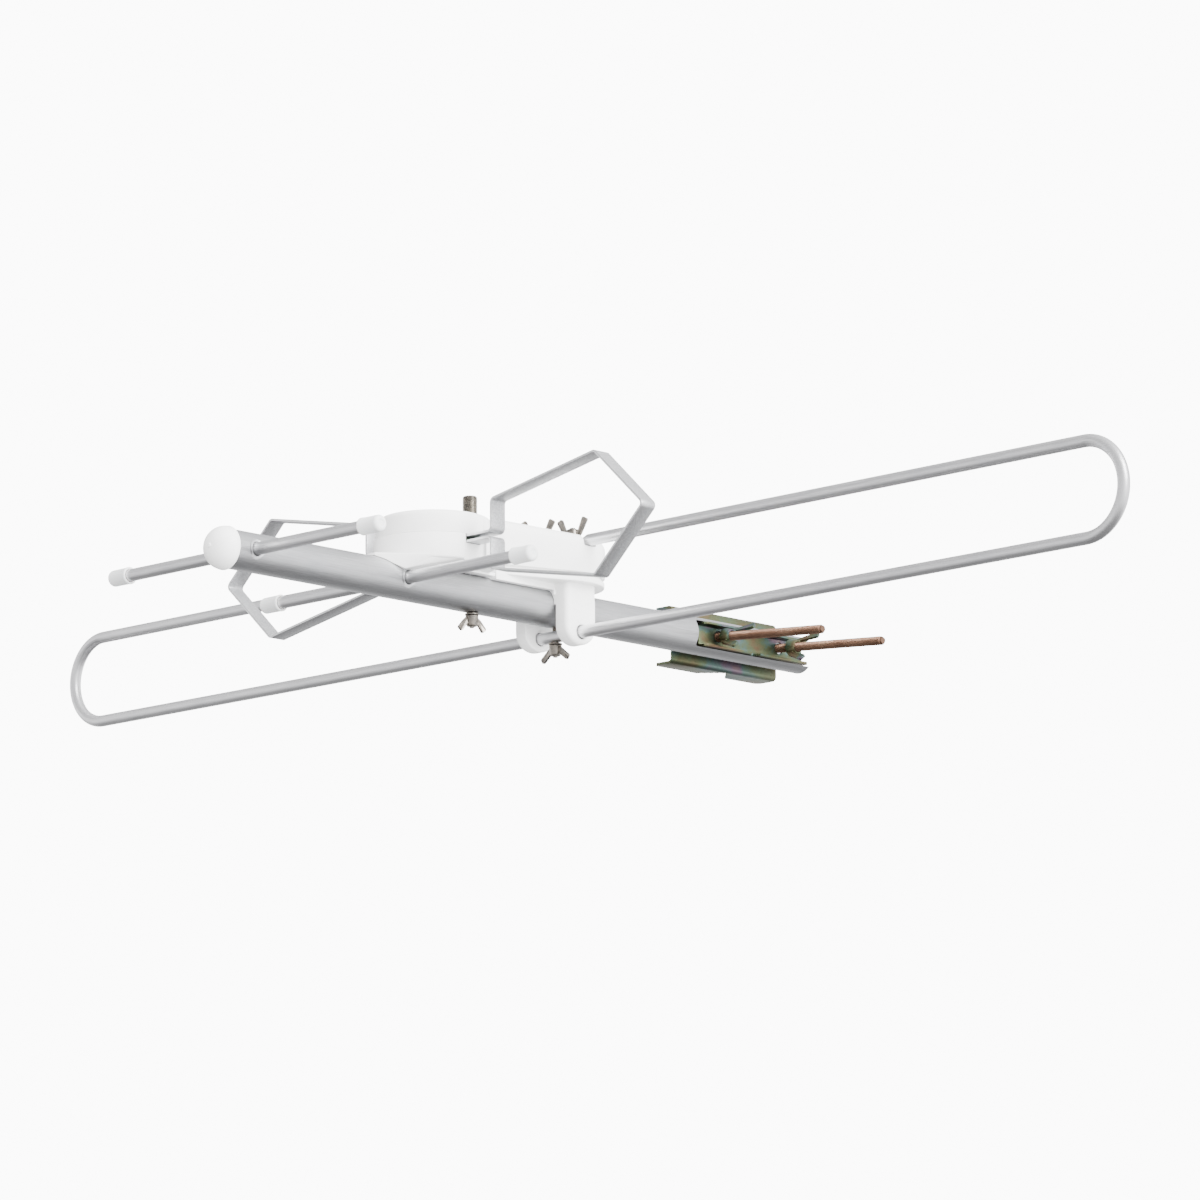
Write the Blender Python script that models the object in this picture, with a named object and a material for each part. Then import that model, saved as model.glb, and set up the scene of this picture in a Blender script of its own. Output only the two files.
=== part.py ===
"""Combined-band television yagi antenna with its mast clamp.

Frame, in metres: the origin is on the boom's axis, midway between the two mast clamp bolts.
+Y runs along the boom to its open rear end, +X along the elements, and +Z is up.
"""

from math import asin, cos, pi, radians, sin, sqrt, tan

import bmesh
import bpy
from mathutils import Matrix, Vector

# ---------------------------------------------------------------- clearances
GAP = 0.0003           # between pieces that touch
FIT = 0.0003           # rod or bolt in its hole, on the radius

# ---------------------------------------------------------------- boom
BOOM_R = 0.0125
BOOM_WALL = 0.0013
BOOM_REAR = 0.0560     # open end, behind the clamp
BOOM_FRONT = -0.4700   # end inside the front cap
CAP_TIP = BOOM_FRONT - 0.0117
CAP_RIM = BOOM_FRONT + 0.0026
CAP_WALL = 0.0010
CAP_DOME = 0.0125

# ---------------------------------------------------------------- stations along the boom
Y_DIRECTOR_1 = BOOM_FRONT + 0.0180
Y_DIRECTOR_2 = -0.3220
Y_LOOP = -0.2880
Y_FRONT_BOLT = -0.2545
Y_DIPOLE = -0.1785

# ---------------------------------------------------------------- directors
ROD_R = 0.0040
ROD_WALL = 0.0010
DIRECTOR_LENGTH = 0.2440
TIP_CAP_LENGTH = 0.0170
TIP_CAP_WALL = 0.0011
TIP_CAP_END = 0.0020

# ---------------------------------------------------------------- strip loops
STRIP_W = 0.0124
STRIP_T = 0.0015
STRIP_BEND = 0.0030
LOOP_X_IN = 0.0575
LOOP_X_MID = 0.1495
LOOP_X_OUT = 0.1915
LOOP_H_IN = 0.0225     # half height of the inner side
LOOP_H_MID = 0.0394    # half height at the outer corners
TAB_END = 0.0265       # where the tabs stop inside the junction box
BOARD_T = 0.0016

# ---------------------------------------------------------------- front junction box
BOX_R = 0.0402
BOX_FLOOR = BOOM_R - 0.0005
BOX_SPLIT = BOX_FLOOR + 0.0167
BOX_TOP = BOX_FLOOR + 0.0320
BOX_WALL = 0.0022
LOOP_Z = BOX_FLOOR + 0.0140
BOARD_R = BOX_R - 0.0052
COVER_R = BOX_R - 0.0022
COVER_DRAFT = 0.0014
POCKET_X = BOX_R - 0.0045      # flat at the bottom of each side pocket
POCKET_HALF = 0.0095
SADDLE_Z = BOX_FLOOR - 0.0010  # lower edge of the saddle's sides
PROW_HALF = 0.0050     # half length of the feet that stand either side of director 2
PROW_LIFT = 0.0010     # from the rod up to the feet
PROW_REACH = 0.0160    # how far its point reaches ahead of the box
PROW_POINT = 0.0040    # half width of the point
JACK_X = 0.0140
JACK_Y = 0.0180
JACK_R = 0.00475
JACK_BORE = 0.0032
JACK_HEIGHT = 0.0158
JACK_FLANGE_R = 0.0072
FERRITE_X = -0.0120
FERRITE_Y = 0.0120

# ---------------------------------------------------------------- folded dipole and its housing
DIPOLE_HALF = 0.4840   # to the outside of each bend
REAR_FLANGE_Z = BOOM_R + 0.0011
REAR_SPLIT = REAR_FLANGE_Z + 0.0062
REAR_TOP = REAR_FLANGE_Z + 0.0314
Z_UPPER = REAR_TOP - 0.0030
Z_LOWER = -(BOOM_R + ROD_R + 0.0015)
SPIGOT_R = 0.0024
BORE_R = 0.0028
OVERLAP = 0.0095       # half length of the telescoped joint
FEED_X = 0.0160
PADDLE_IN = 0.0085
PADDLE_OUT = 0.0250
PADDLE_T = 0.0044
PADDLE_W = 0.0098
REAR_R = 0.0325
NOSE_R = 0.0148
HOUSING_GAP = 0.0015   # between the two housings
REAR_WALL = 0.0022
REAR_RISE = 0.0930     # slope of the cover ahead of the dipole
REAR_ROUND = 0.0070    # round of the cover's top edge
GROOVE_HALF = 0.0056
ARM_IN = BOOM_R + 0.0012
ARM_OUT = ARM_IN + 0.0108
ARM_HALF = 0.0137
ARM_TIP = Z_LOWER - ROD_R - 0.0042
REAR_SADDLE_Z = REAR_FLANGE_Z - 0.0041

# ---------------------------------------------------------------- hardware
M4_R = 0.0020
M5_R = 0.0025
M6_R = 0.0030
WASHER_T = 0.0010
WING_HUB_H = 0.0070
LEFT_NUT_STAND = 0.0035   # the left feed nut is run up this far from its washer

# ---------------------------------------------------------------- mast clamp
BOLT_PITCH = 0.0590
BOLT_Z = 0.0022        # where the bolt axes cross the boom's far wall
BOLT_TILT = radians(4.3)
BOLT_TIP = 0.1000
BOLT_HOLE_R = 0.0040
WINDOW_HALF = 0.00885
WINDOW_FRONT = -0.0560
PLATE_T = 0.0016
INSERT_WEB_X = 0.0040
INSERT_HALF_H = 0.0083
INSERT_LIP_X = 0.0125
INSERT_FRONT = -0.0490
INSERT_REAR = 0.0520
JAW_FRONT = -0.0555
JAW_REAR = 0.0465
JAW_HALF_H = 0.0195
JAW_DEPTH = 0.0175
NOTCH_DEPTH = 0.0140
INSERT_NOTCH = 0.0045
TOOTH = 0.0012
NUT_1_OFFSET = 0.0056  # how far each clamp nut stands off the insert
NUT_2_OFFSET = 0.0105


# ================================================================ helpers
def clear_scene():
    for item in list(bpy.data.objects):
        bpy.data.objects.remove(item, do_unlink=True)
    for mesh in list(bpy.data.meshes):
        bpy.data.meshes.remove(mesh)


def material(name, colour, roughness, metallic):
    mat = bpy.data.materials.new(name)
    mat.use_nodes = True
    node = mat.node_tree.nodes["Principled BSDF"]
    node.inputs["Base Color"].default_value = (*colour, 1.0)
    node.inputs["Roughness"].default_value = roughness
    node.inputs["Metallic"].default_value = metallic
    mat.diffuse_color = (*colour, 1.0)
    return mat


LOOKS = {
    "aluminium": ((0.62, 0.63, 0.65), 0.34, 1.0),
    "strip": ((0.55, 0.56, 0.58), 0.42, 1.0),
    "white": ((0.86, 0.86, 0.85), 0.38, 0.0),
    "pale": ((0.88, 0.88, 0.87), 0.30, 0.0),
    "nickel": ((0.60, 0.57, 0.52), 0.28, 1.0),
    "chromate": ((0.47, 0.44, 0.27), 0.36, 1.0),
    "copper": ((0.52, 0.38, 0.27), 0.40, 1.0),
    "board": ((0.10, 0.27, 0.16), 0.50, 0.0),
    "ferrite": ((0.06, 0.06, 0.065), 0.55, 0.0),
}


def finish(name, bm, look, origin=(0, 0, 0), smooth=True):
    """Puts a bmesh, given in world coordinates, into an object whose origin is at `origin`."""
    bmesh.ops.recalc_face_normals(bm, faces=bm.faces)
    bmesh.ops.transform(bm, matrix=Matrix.Translation(-Vector(origin)), verts=bm.verts)
    mesh = bpy.data.meshes.new(name)
    bm.to_mesh(mesh)
    bm.free()
    if smooth:
        mesh.shade_smooth()
        mesh.set_sharp_from_angle(angle=radians(32))
    obj = bpy.data.objects.new(name, mesh)
    obj.location = origin
    bpy.context.scene.collection.objects.link(obj)
    colour, roughness, metallic = LOOKS[look]
    mesh.materials.append(material(name + "_finish", colour, roughness, metallic))
    return obj


def tool(name, bm):
    """A hidden shape that a Boolean uses."""
    bmesh.ops.recalc_face_normals(bm, faces=bm.faces)
    mesh = bpy.data.meshes.new(name)
    bm.to_mesh(mesh)
    bm.free()
    obj = bpy.data.objects.new(name, mesh)
    obj.hide_render = True
    obj.display_type = "WIRE"
    bpy.context.scene.collection.objects.link(obj)
    return obj


def boolean(obj, other, operation):
    mod = obj.modifiers.new(operation.lower() + "_" + other.name, "BOOLEAN")
    mod.operation = operation
    mod.solver = "EXACT"
    mod.object = other


def cut(obj, other):
    boolean(obj, other, "DIFFERENCE")


def join(obj, other):
    boolean(obj, other, "UNION")


def ring_of(bm, points):
    return [bm.verts.new(p) for p in points]


def loft(rings, closed=False, cap=None):
    """Skins a row of equal point loops; the first and last are capped unless the row closes on itself."""
    bm = bmesh.new()
    loops = [ring_of(bm, ring) for ring in rings]
    pairs = list(zip(loops, loops[1:]))
    if closed:
        pairs.append((loops[-1], loops[0]))
    for lower, upper in pairs:
        count = len(lower)
        for i in range(count):
            j = (i + 1) % count
            bm.faces.new((lower[i], lower[j], upper[j], upper[i]))
    if cap:
        cap(bm, loops[0])
        cap(bm, loops[-1])
    elif not closed:
        bm.faces.new(list(reversed(loops[0])))
        bm.faces.new(loops[-1])
    return bm


AXES = {
    "X": (Vector((0, 1, 0)), Vector((0, 0, 1)), Vector((1, 0, 0))),
    "Y": (Vector((0, 0, 1)), Vector((1, 0, 0)), Vector((0, 1, 0))),
    "Z": (Vector((1, 0, 0)), Vector((0, 1, 0)), Vector((0, 0, 1))),
}


def circle(axis, centre, along, radius, count, turn=0.0):
    """Points of a circle about an axis through `centre`, moved `along` it."""
    u, v, w = AXES[axis]
    base = Vector(centre) + w * along
    ring = []
    for i in range(count):
        a = 2 * pi * (i + 0.5) / count + turn
        ring.append(base + radius * (cos(a) * u + sin(a) * v))
    return ring


def turned(axis, centre, profile, count, closed=False, turn=0.0):
    """A lathe shape: profile is a row of (along, radius)."""
    return loft([circle(axis, centre, z, r, count, turn) for z, r in profile], closed)


def rod(axis, centre, start, end, radius, count=24, turn=0.0):
    return turned(axis, centre, [(start, radius), (end, radius)], count, False, turn)


def tube(axis, centre, start, end, outer, inner, count=32, edge=0.0):
    rows = [(start, inner), (start, outer), (end, outer), (end, inner)]
    if edge:
        rows = [(start, inner), (start, outer - edge), (start + edge, outer)]
        rows += [(end - edge, outer), (end, outer - edge), (end, inner)]
    return turned(axis, centre, rows, count, True)


def block(x0, x1, y0, y1, z0, z1):
    low = [(x0, y0, z0), (x1, y0, z0), (x1, y1, z0), (x0, y1, z0)]
    high = [(x, y, z1) for x, y, z in low]
    return loft([low, high])


def prism(points, axis, start, end):
    """A flat outline pushed along an axis; outline points are in that axis's own (u, v)."""
    u, v, w = AXES[axis]
    rings = []
    for at in (start, end):
        rings.append([u * p[0] + v * p[1] + w * at for p in points])
    return loft(rings)


def hull(points):
    """The tightest closed skin round a cloud of points."""
    bm = bmesh.new()
    result = bmesh.ops.convex_hull(bm, input=ring_of(bm, points))
    inside = set(result["geom_interior"]) | set(result["geom_unused"])
    loose = [v for v in inside if isinstance(v, bmesh.types.BMVert)]
    bmesh.ops.delete(bm, geom=loose, context="VERTS")
    return bm


def fillet(points, radius, steps):
    """Rounds the inner corners of an open row of 2-D points."""
    out = [Vector(points[0])]
    for before, here, after in zip(points, points[1:], points[2:]):
        here = Vector(here)
        a = (Vector(before) - here).normalized()
        b = (Vector(after) - here).normalized()
        half = a.angle(b) / 2
        back = radius / tan(half)
        centre = here + (a + b).normalized() * (radius / sin(half))
        start = here + a * back
        end = here + b * back
        for i in range(steps + 1):
            t = i / steps
            s, e = start - centre, end - centre
            total = s.angle(e)
            p = (s * sin((1 - t) * total) + e * sin(t * total)) / sin(total)
            out.append(centre + p)
    out.append(Vector(points[-1]))
    return out


def offset_row(points, distance):
    """Moves a row of 2-D points sideways by `distance`."""
    out = []
    for i, p in enumerate(points):
        before = points[i - 1] if i else p
        after = points[i + 1] if i + 1 < len(points) else p
        d1 = (p - before) if i else (after - p)
        d2 = (after - p) if i + 1 < len(points) else (p - before)
        n1 = Vector((-d1.y, d1.x)).normalized()
        n2 = Vector((-d2.y, d2.x)).normalized()
        n = (n1 + n2).normalized()
        out.append(p + n * (distance / max(0.3, n.dot(n1))))
    return out


# ================================================================ boom
def clamp_axis(y, x):
    """The height of a clamp bolt's axis at a given X."""
    return BOLT_Z - (x + BOOM_R) * tan(BOLT_TILT)


def clamp_hole(name, y, x0, x1, radius, count=20):
    z = clamp_axis(y, (x0 + x1) / 2)
    return tool(name, rod("X", (0, y, z), x0, x1, radius, count))


def build_boom():
    bm = tube("Y", (0, 0, 0), BOOM_FRONT, BOOM_REAR, BOOM_R, BOOM_R - BOOM_WALL, 40, 0.0003)
    boom = finish("boom_tube", bm, "aluminium")
    for index, y in enumerate((Y_DIRECTOR_1, Y_DIRECTOR_2)):
        hole = rod("X", (0, y, 0), -0.02, 0.02, ROD_R + FIT, 20)
        cut(boom, tool("cut_director_%d" % index, hole))
    for index, y in enumerate((Y_FRONT_BOLT, Y_DIPOLE)):
        hole = rod("Z", (0, y, 0), -0.02, 0.02, M4_R + FIT, 16)
        cut(boom, tool("cut_bolt_%d" % index, hole))
    for index, y in enumerate((-BOLT_PITCH / 2, BOLT_PITCH / 2)):
        cut(boom, clamp_hole("cut_clamp_%d" % index, y, -0.016, -0.006, BOLT_HOLE_R))
    window = block(0.0, 0.02, WINDOW_FRONT, BOOM_REAR + 0.01, -WINDOW_HALF, WINDOW_HALF)
    cut(boom, tool("cut_window", window))
    return boom


def build_end_cap():
    """The domed cap over the boom's front end, open to the rear."""
    outer = BOOM_R + GAP + CAP_WALL
    inner = BOOM_R + GAP
    dome = CAP_DOME
    rows = [(BOOM_FRONT - GAP, 0.0030), (BOOM_FRONT - GAP, inner), (CAP_RIM, inner)]
    rows += [(CAP_RIM, outer + 0.0002), (CAP_RIM - 0.0010, outer + 0.0002)]
    steps = 8
    for i in range(steps + 1):
        a = (pi / 2) * i / steps * 0.94
        rows.append((CAP_TIP + dome - dome * sin(a), outer * cos(a) ** 0.92 if i else outer))
    bm = turned("Y", (0, 0, 0), rows, 32)
    finish("boom_end_cap", bm, "white")


# ================================================================ directors
def build_director(index, y):
    half = DIRECTOR_LENGTH / 2
    bm = tube("X", (0, y, 0), -half, half, ROD_R, ROD_R - ROD_WALL, 24)
    finish("director_%d_rod" % index, bm, "aluminium")
    for side, sign in (("left", -1), ("right", 1)):
        inner = ROD_R + GAP
        outer = inner + TIP_CAP_WALL
        mouth = sign * (half + GAP - TIP_CAP_LENGTH + TIP_CAP_END)
        floor = sign * (half + GAP)
        end = sign * (half + GAP + TIP_CAP_END)
        step = sign * 0.0012
        rows = [(floor, 0.0015), (floor, inner), (mouth, inner), (mouth, outer + 0.0002)]
        rows += [(end - 2 * step, outer - 0.0001), (end - 0.8 * step, outer - 0.0006)]
        rows += [(end, outer - 0.0020)]
        bm = turned("X", (0, y, 0), rows, 24)
        finish("director_%d_cap_%s" % (index, side), bm, "pale")


# ================================================================ strip loops
def loop_row(sign):
    """Centre line of one strip loop as (x, z): tab, up, out, round, back and tab again."""
    rise = BOARD_T / 2 + GAP + STRIP_T / 2
    right = [
        (TAB_END, LOOP_Z + rise),
        (LOOP_X_IN, LOOP_Z + rise),
        (LOOP_X_IN, LOOP_Z + LOOP_H_IN),
        (LOOP_X_MID, LOOP_Z + LOOP_H_MID),
        (LOOP_X_OUT, LOOP_Z),
        (LOOP_X_MID, LOOP_Z - LOOP_H_MID),
        (LOOP_X_IN, LOOP_Z - LOOP_H_IN),
        (LOOP_X_IN, LOOP_Z - rise),
        (TAB_END, LOOP_Z - rise),
    ]
    return [(sign * x, z) for x, z in right]


def build_loop(side, sign):
    row = fillet(loop_row(sign), STRIP_BEND, 4)
    outline = offset_row(row, STRIP_T / 2) + list(reversed(offset_row(row, -STRIP_T / 2)))
    rings = []
    for y in (Y_LOOP - STRIP_W / 2, Y_LOOP + STRIP_W / 2):
        rings.append([(p.x, y, p.y) for p in outline])
    loop = finish("strip_loop_%s" % side, loft(rings), "strip")
    x = sign * screw_x()
    hole = rod("Z", (x, Y_LOOP, LOOP_Z), -0.006, 0.006, 0.0015 + FIT, 16)
    cut(loop, tool("cut_loop_%s" % side, hole))
    return loop


def screw_x():
    return TAB_END + 0.0036


def build_loop_screw(side, sign):
    """Pan head screw that clamps the two tabs of a loop to the circuit board."""
    top = LOOP_Z + BOARD_T / 2 + GAP + STRIP_T + GAP
    bottom = LOOP_Z - BOARD_T / 2 - GAP - STRIP_T - 0.0012
    rows = [(bottom, 0.0011), (bottom + 0.0004, 0.0015), (top, 0.0015), (top, 0.0027)]
    rows += [(top + 0.0009, 0.0027), (top + 0.0017, 0.0018)]
    finish("loop_screw_%s" % side, turned("Z", (sign * screw_x(), Y_LOOP, 0), rows, 16), "nickel")


# ================================================================ front junction box
def puck(radius, flat, z, half=POCKET_HALF):
    """A round outline with a square pocket in each side, at height z."""
    edge = asin(half / radius)
    points = []
    for start in (0.0, pi):
        sign = 1 if start == 0.0 else -1
        count = 18
        for i in range(count + 1):
            a = start + edge + (pi - 2 * edge) * i / count
            points.append((radius * cos(a), Y_LOOP + radius * sin(a), z))
        points.append((-sign * flat, Y_LOOP + sign * half, z))
        points.append((-sign * flat, Y_LOOP - sign * half, z))
    return points


def prow_points(side):
    """The box's front lower rim, and the two feet it tapers down to beside director 2."""
    points = []
    for inset, z in ((0.0017, BOX_FLOOR + 0.0004), (0.0006, BOX_FLOOR + 0.0020)):
        radius = BOX_R - inset
        for i in range(19):
            a = pi * (1.09 + 0.82 * i / 18)
            points.append((radius * cos(a), Y_LOOP + radius * sin(a), z))
    for x in (-PROW_POINT, PROW_POINT):
        for z in (BOX_FLOOR + 0.0004, BOX_FLOOR + 0.0022):
            points.append((x, Y_LOOP - BOX_R - PROW_REACH, z))
    for x in (-side, side):
        for y in (Y_DIRECTOR_2 - PROW_HALF, Y_DIRECTOR_2 + PROW_HALF):
            for z in (ROD_R + PROW_LIFT, ROD_R + PROW_LIFT + 0.0020):
                points.append((x, y, z))
    return points


def build_box_base():
    wall = BOX_WALL
    top = BOX_SPLIT
    floor = BOX_FLOOR + 0.0036
    inner = BOX_R - wall
    flat = POCKET_X - wall
    half = POCKET_HALF + wall
    rings = [puck(inner, flat, floor, half), puck(inner, flat, top, half)]
    rings += [puck(BOX_R - 0.0004, POCKET_X - 0.0002, top), puck(BOX_R, POCKET_X, top - 0.0006)]
    rings += [puck(BOX_R, POCKET_X, BOX_FLOOR + 0.0016)]
    rings += [puck(BOX_R - 0.0005, POCKET_X, BOX_FLOOR + 0.0005)]
    rings += [puck(BOX_R - 0.0017, POCKET_X - 0.0008, BOX_FLOOR)]
    base = finish("junction_base", loft(rings), "white")
    rear = Y_LOOP + BOX_R + 0.0016
    front = Y_DIRECTOR_2 + PROW_HALF - 0.0010
    side = BOOM_R + GAP + 0.0011
    saddle = block(-side, side, front, rear, SADDLE_Z, BOX_FLOOR + 0.0010)
    join(base, tool("add_saddle", saddle))
    join(base, tool("add_prow", hull(prow_points(side + 0.0004))))
    boom = rod("Y", (0, 0, 0), front - 0.04, rear + 0.02, BOOM_R + GAP, 40)
    cut(base, tool("cut_base_boom", boom))
    bolt = rod("Z", (0, Y_FRONT_BOLT, 0), 0.005, floor + 0.003, M4_R + FIT, 16)
    cut(base, tool("cut_base_bolt", bolt))
    low = LOOP_Z - BOARD_T / 2 - GAP - STRIP_T - GAP
    for side_name, sign in (("left", -1), ("right", 1)):
        x0, x1 = sorted((sign * (flat - 0.001), sign * (POCKET_X + 0.001)))
        slot = block(x0, x1, Y_LOOP - STRIP_W / 2 - GAP, Y_LOOP + STRIP_W / 2 + GAP, low, top + 0.001)
        cut(base, tool("cut_tab_slot_" + side_name, slot))
    return base


def build_box_cover():
    z0 = BOX_SPLIT + GAP
    wall = BOX_WALL
    draft = COVER_DRAFT
    roof = BOX_TOP - wall
    outer = COVER_R
    flat = POCKET_X
    half = POCKET_HALF + wall
    rings = [puck(outer - wall - draft, flat - wall, roof, half)]
    rings += [puck(outer - wall, flat - wall, z0, half)]
    rings += [puck(outer - 0.0003, flat - 0.0003, z0), puck(outer, flat, z0 + 0.0005)]
    rings += [puck(outer - draft, flat, BOX_TOP - 0.0035), puck(outer - draft - 0.0007, flat - 0.0003, BOX_TOP - 0.0017)]
    rings += [puck(outer - draft - 0.0019, flat - 0.0012, BOX_TOP - 0.0005)]
    rings += [puck(outer - draft - 0.0038, flat - 0.0030, BOX_TOP)]
    cover = finish("junction_cover", loft(rings), "white")
    at = (JACK_X, Y_LOOP + JACK_Y, 0)
    hole = rod("Z", at, roof - 0.002, BOX_TOP + 0.002, JACK_R + FIT, 24)
    cut(cover, tool("cut_jack", hole))
    return cover


def build_board():
    rings = []
    for z in (LOOP_Z - BOARD_T / 2, LOOP_Z + BOARD_T / 2):
        points = []
        for i in range(36):
            a = 2 * pi * (i + 0.5) / 36
            x = max(-POCKET_X + BOX_WALL + 0.0009, min(POCKET_X - BOX_WALL - 0.0009, BOARD_R * cos(a)))
            points.append((x, Y_LOOP + BOARD_R * sin(a), z))
        rings.append(points)
    board = finish("circuit_board", loft(rings), "board")
    for side, sign in (("left", -1), ("right", 1)):
        hole = rod("Z", (sign * screw_x(), Y_LOOP, LOOP_Z), -0.004, 0.004, 0.0015 + FIT, 16)
        cut(board, tool("cut_board_" + side, hole))
    return board


def build_board_parts():
    x, y = FERRITE_X, Y_LOOP + FERRITE_Y
    z = LOOP_Z + BOARD_T / 2 + GAP
    core = tube("Z", (x, y, 0), z, z + 0.0062, 0.0048, 0.0019, 24, 0.0005)
    finish("balun_core", core, "ferrite")


def build_jack():
    """The coaxial socket on the cover: an inside flange, a threaded barrel and a nut outside."""
    at = (JACK_X, Y_LOOP + JACK_Y, 0)
    roof = BOX_TOP - BOX_WALL
    foot = LOOP_Z + BOARD_T / 2 + GAP
    tip = BOX_TOP + JACK_HEIGHT
    rows = [(tip - 0.0090, JACK_BORE), (tip, JACK_BORE), (tip, JACK_R - 0.0005)]
    rows += [(tip - 0.0006, JACK_R), (roof - GAP, JACK_R), (roof - GAP, JACK_FLANGE_R)]
    rows += [(roof - GAP - 0.0020, JACK_FLANGE_R), (roof - GAP - 0.0020, JACK_R)]
    rows += [(foot + 0.0020, JACK_R), (foot, 0.0030)]
    finish("coax_socket", turned("Z", at, rows, 24), "nickel")
    low = BOX_TOP + GAP
    high = low + 0.0030
    hexagon = 0.0127 / sqrt(3)
    rings = [circle("Z", at, low, JACK_R + FIT, 6 * 4), circle("Z", at, high, JACK_R + FIT, 6 * 4)]
    outer = []
    for z in (high, low):
        ring = []
        for i in range(24):
            a = 2 * pi * (i + 0.5) / 24
            lean = (a % (pi / 3)) - pi / 6
            radius = hexagon * cos(pi / 6) / cos(lean)
            ring.append((at[0] + radius * cos(a), at[1] + radius * sin(a), z))
        outer.append(ring)
    finish("socket_nut", loft(rings + outer, True), "nickel")


# ================================================================ rear housing
PEAR_BACK, PEAR_FRONT = 27, 13     # points round the two ends


def pear(big, nose, z, rise=0.0):
    """Outline of the rear housing: a round end about the dipole and a nose that can rise ahead of it."""
    yb, ys = Y_DIPOLE, Y_LOOP + BOX_R + HOUSING_GAP + NOSE_R
    lean = asin((big - nose) / (yb - ys))
    points = []
    for i in range(PEAR_BACK):
        a = -lean + (pi + 2 * lean) * i / (PEAR_BACK - 1)
        points.append((big * cos(a), yb + big * sin(a), z))
    for i in range(PEAR_FRONT):
        a = pi + lean + (pi - 2 * lean) * i / (PEAR_FRONT - 1)
        y = ys + nose * sin(a)
        points.append((nose * cos(a), y, z + rise * (yb - y)))
    return points


def rungs(bm, loop):
    """Caps a pear outline with flat strips from side to side, so that it may slope along Y."""
    back, front = PEAR_BACK, PEAR_FRONT
    pairs = [(back // 2 - i, back // 2 + i) for i in range(back // 2 + 1)]
    pairs += [(back + front - 1 - i, back + i) for i in range(front // 2 + 1)]
    for (a, b), (c, d) in zip(pairs, pairs[1:]):
        corners = [loop[i] for i in dict.fromkeys((a, c, d, b))]
        bm.faces.new(corners)


def build_rear_bracket():
    """The lower half of the rear housing: saddle, flange and the two arms that carry the lower rod."""
    r, n = REAR_R, NOSE_R
    z0 = REAR_FLANGE_Z
    rings = [pear(r - 0.0042, n - 0.0042, z0 + 0.0040)]
    rings += [pear(r - 0.0042, n - 0.0042, REAR_SPLIT + 0.0025)]
    rings += [pear(r - 0.0027, n - 0.0027, REAR_SPLIT + 0.0025)]
    rings += [pear(r - 0.0027, n - 0.0027, z0 + 0.0038), pear(r - 0.0008, n - 0.0008, z0 + 0.0038)]
    rings += [pear(r - 0.0004, n - 0.0004, z0 + 0.0034), pear(r - 0.0004, n - 0.0004, z0 + 0.0006)]
    rings += [pear(r - 0.0010, n - 0.0010, z0)]
    bracket = finish("rear_bracket", loft(rings), "white")
    front = Y_LOOP + BOX_R + 0.0022
    side = BOOM_R + GAP + 0.0006
    saddle = block(-side, side, front, Y_DIPOLE + 0.010, REAR_SADDLE_Z, z0 + 0.0020)
    join(bracket, tool("add_rear_saddle", saddle))
    hub = block(-ARM_OUT, ARM_OUT, Y_DIPOLE - ARM_HALF, Y_DIPOLE + ARM_HALF, 0.0, z0 + 0.0012)
    join(bracket, tool("add_hub", hub))
    for name, sign in (("left", -1), ("right", 1)):
        join(bracket, tool("add_arm_" + name, arm_shape(sign)))
    boom = rod("Y", (0, 0, 0), front - 0.02, Y_DIPOLE + 0.05, BOOM_R + GAP, 40)
    cut(bracket, tool("cut_rear_boom", boom))
    under = block(-ARM_IN, ARM_IN, Y_DIPOLE - 0.03, Y_DIPOLE + 0.05, -0.04, 0.0)
    cut(bracket, tool("cut_between_arms", under))
    bolt = rod("Z", (0, Y_DIPOLE, 0), 0.005, 0.03, M4_R + FIT, 16)
    cut(bracket, tool("cut_rear_bolt", bolt))
    lower = rod("X", (0, Y_DIPOLE, Z_LOWER), -0.04, 0.04, ROD_R + 2 * FIT, 24)
    cut(bracket, tool("cut_lower_rod", lower))
    return bracket


def arm_shape(sign):
    """One hanging arm, rounded round its lower end."""
    round_r = ARM_HALF
    centre = ARM_TIP + round_r * 0.86
    points = [(Y_DIPOLE + ARM_HALF, 0.004), (Y_DIPOLE - ARM_HALF, 0.004)]
    for i in range(13):
        a = pi + pi * i / 12
        points.append((Y_DIPOLE + round_r * cos(a), centre + round_r * 0.86 * sin(a)))
    x0, x1 = sorted((sign * ARM_IN, sign * ARM_OUT))
    bm = prism(points, "X", x0, x1)
    edges = [e for e in bm.edges if abs(e.verts[0].co.x - e.verts[1].co.x) < 1e-6]
    edges = [e for e in edges if max(v.co.z for v in e.verts) < 0.0039 or e.verts[0].co.z != e.verts[1].co.z]
    bmesh.ops.bevel(bm, geom=edges, offset=0.0012, segments=2, profile=0.5, affect="EDGES")
    return bm


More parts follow.
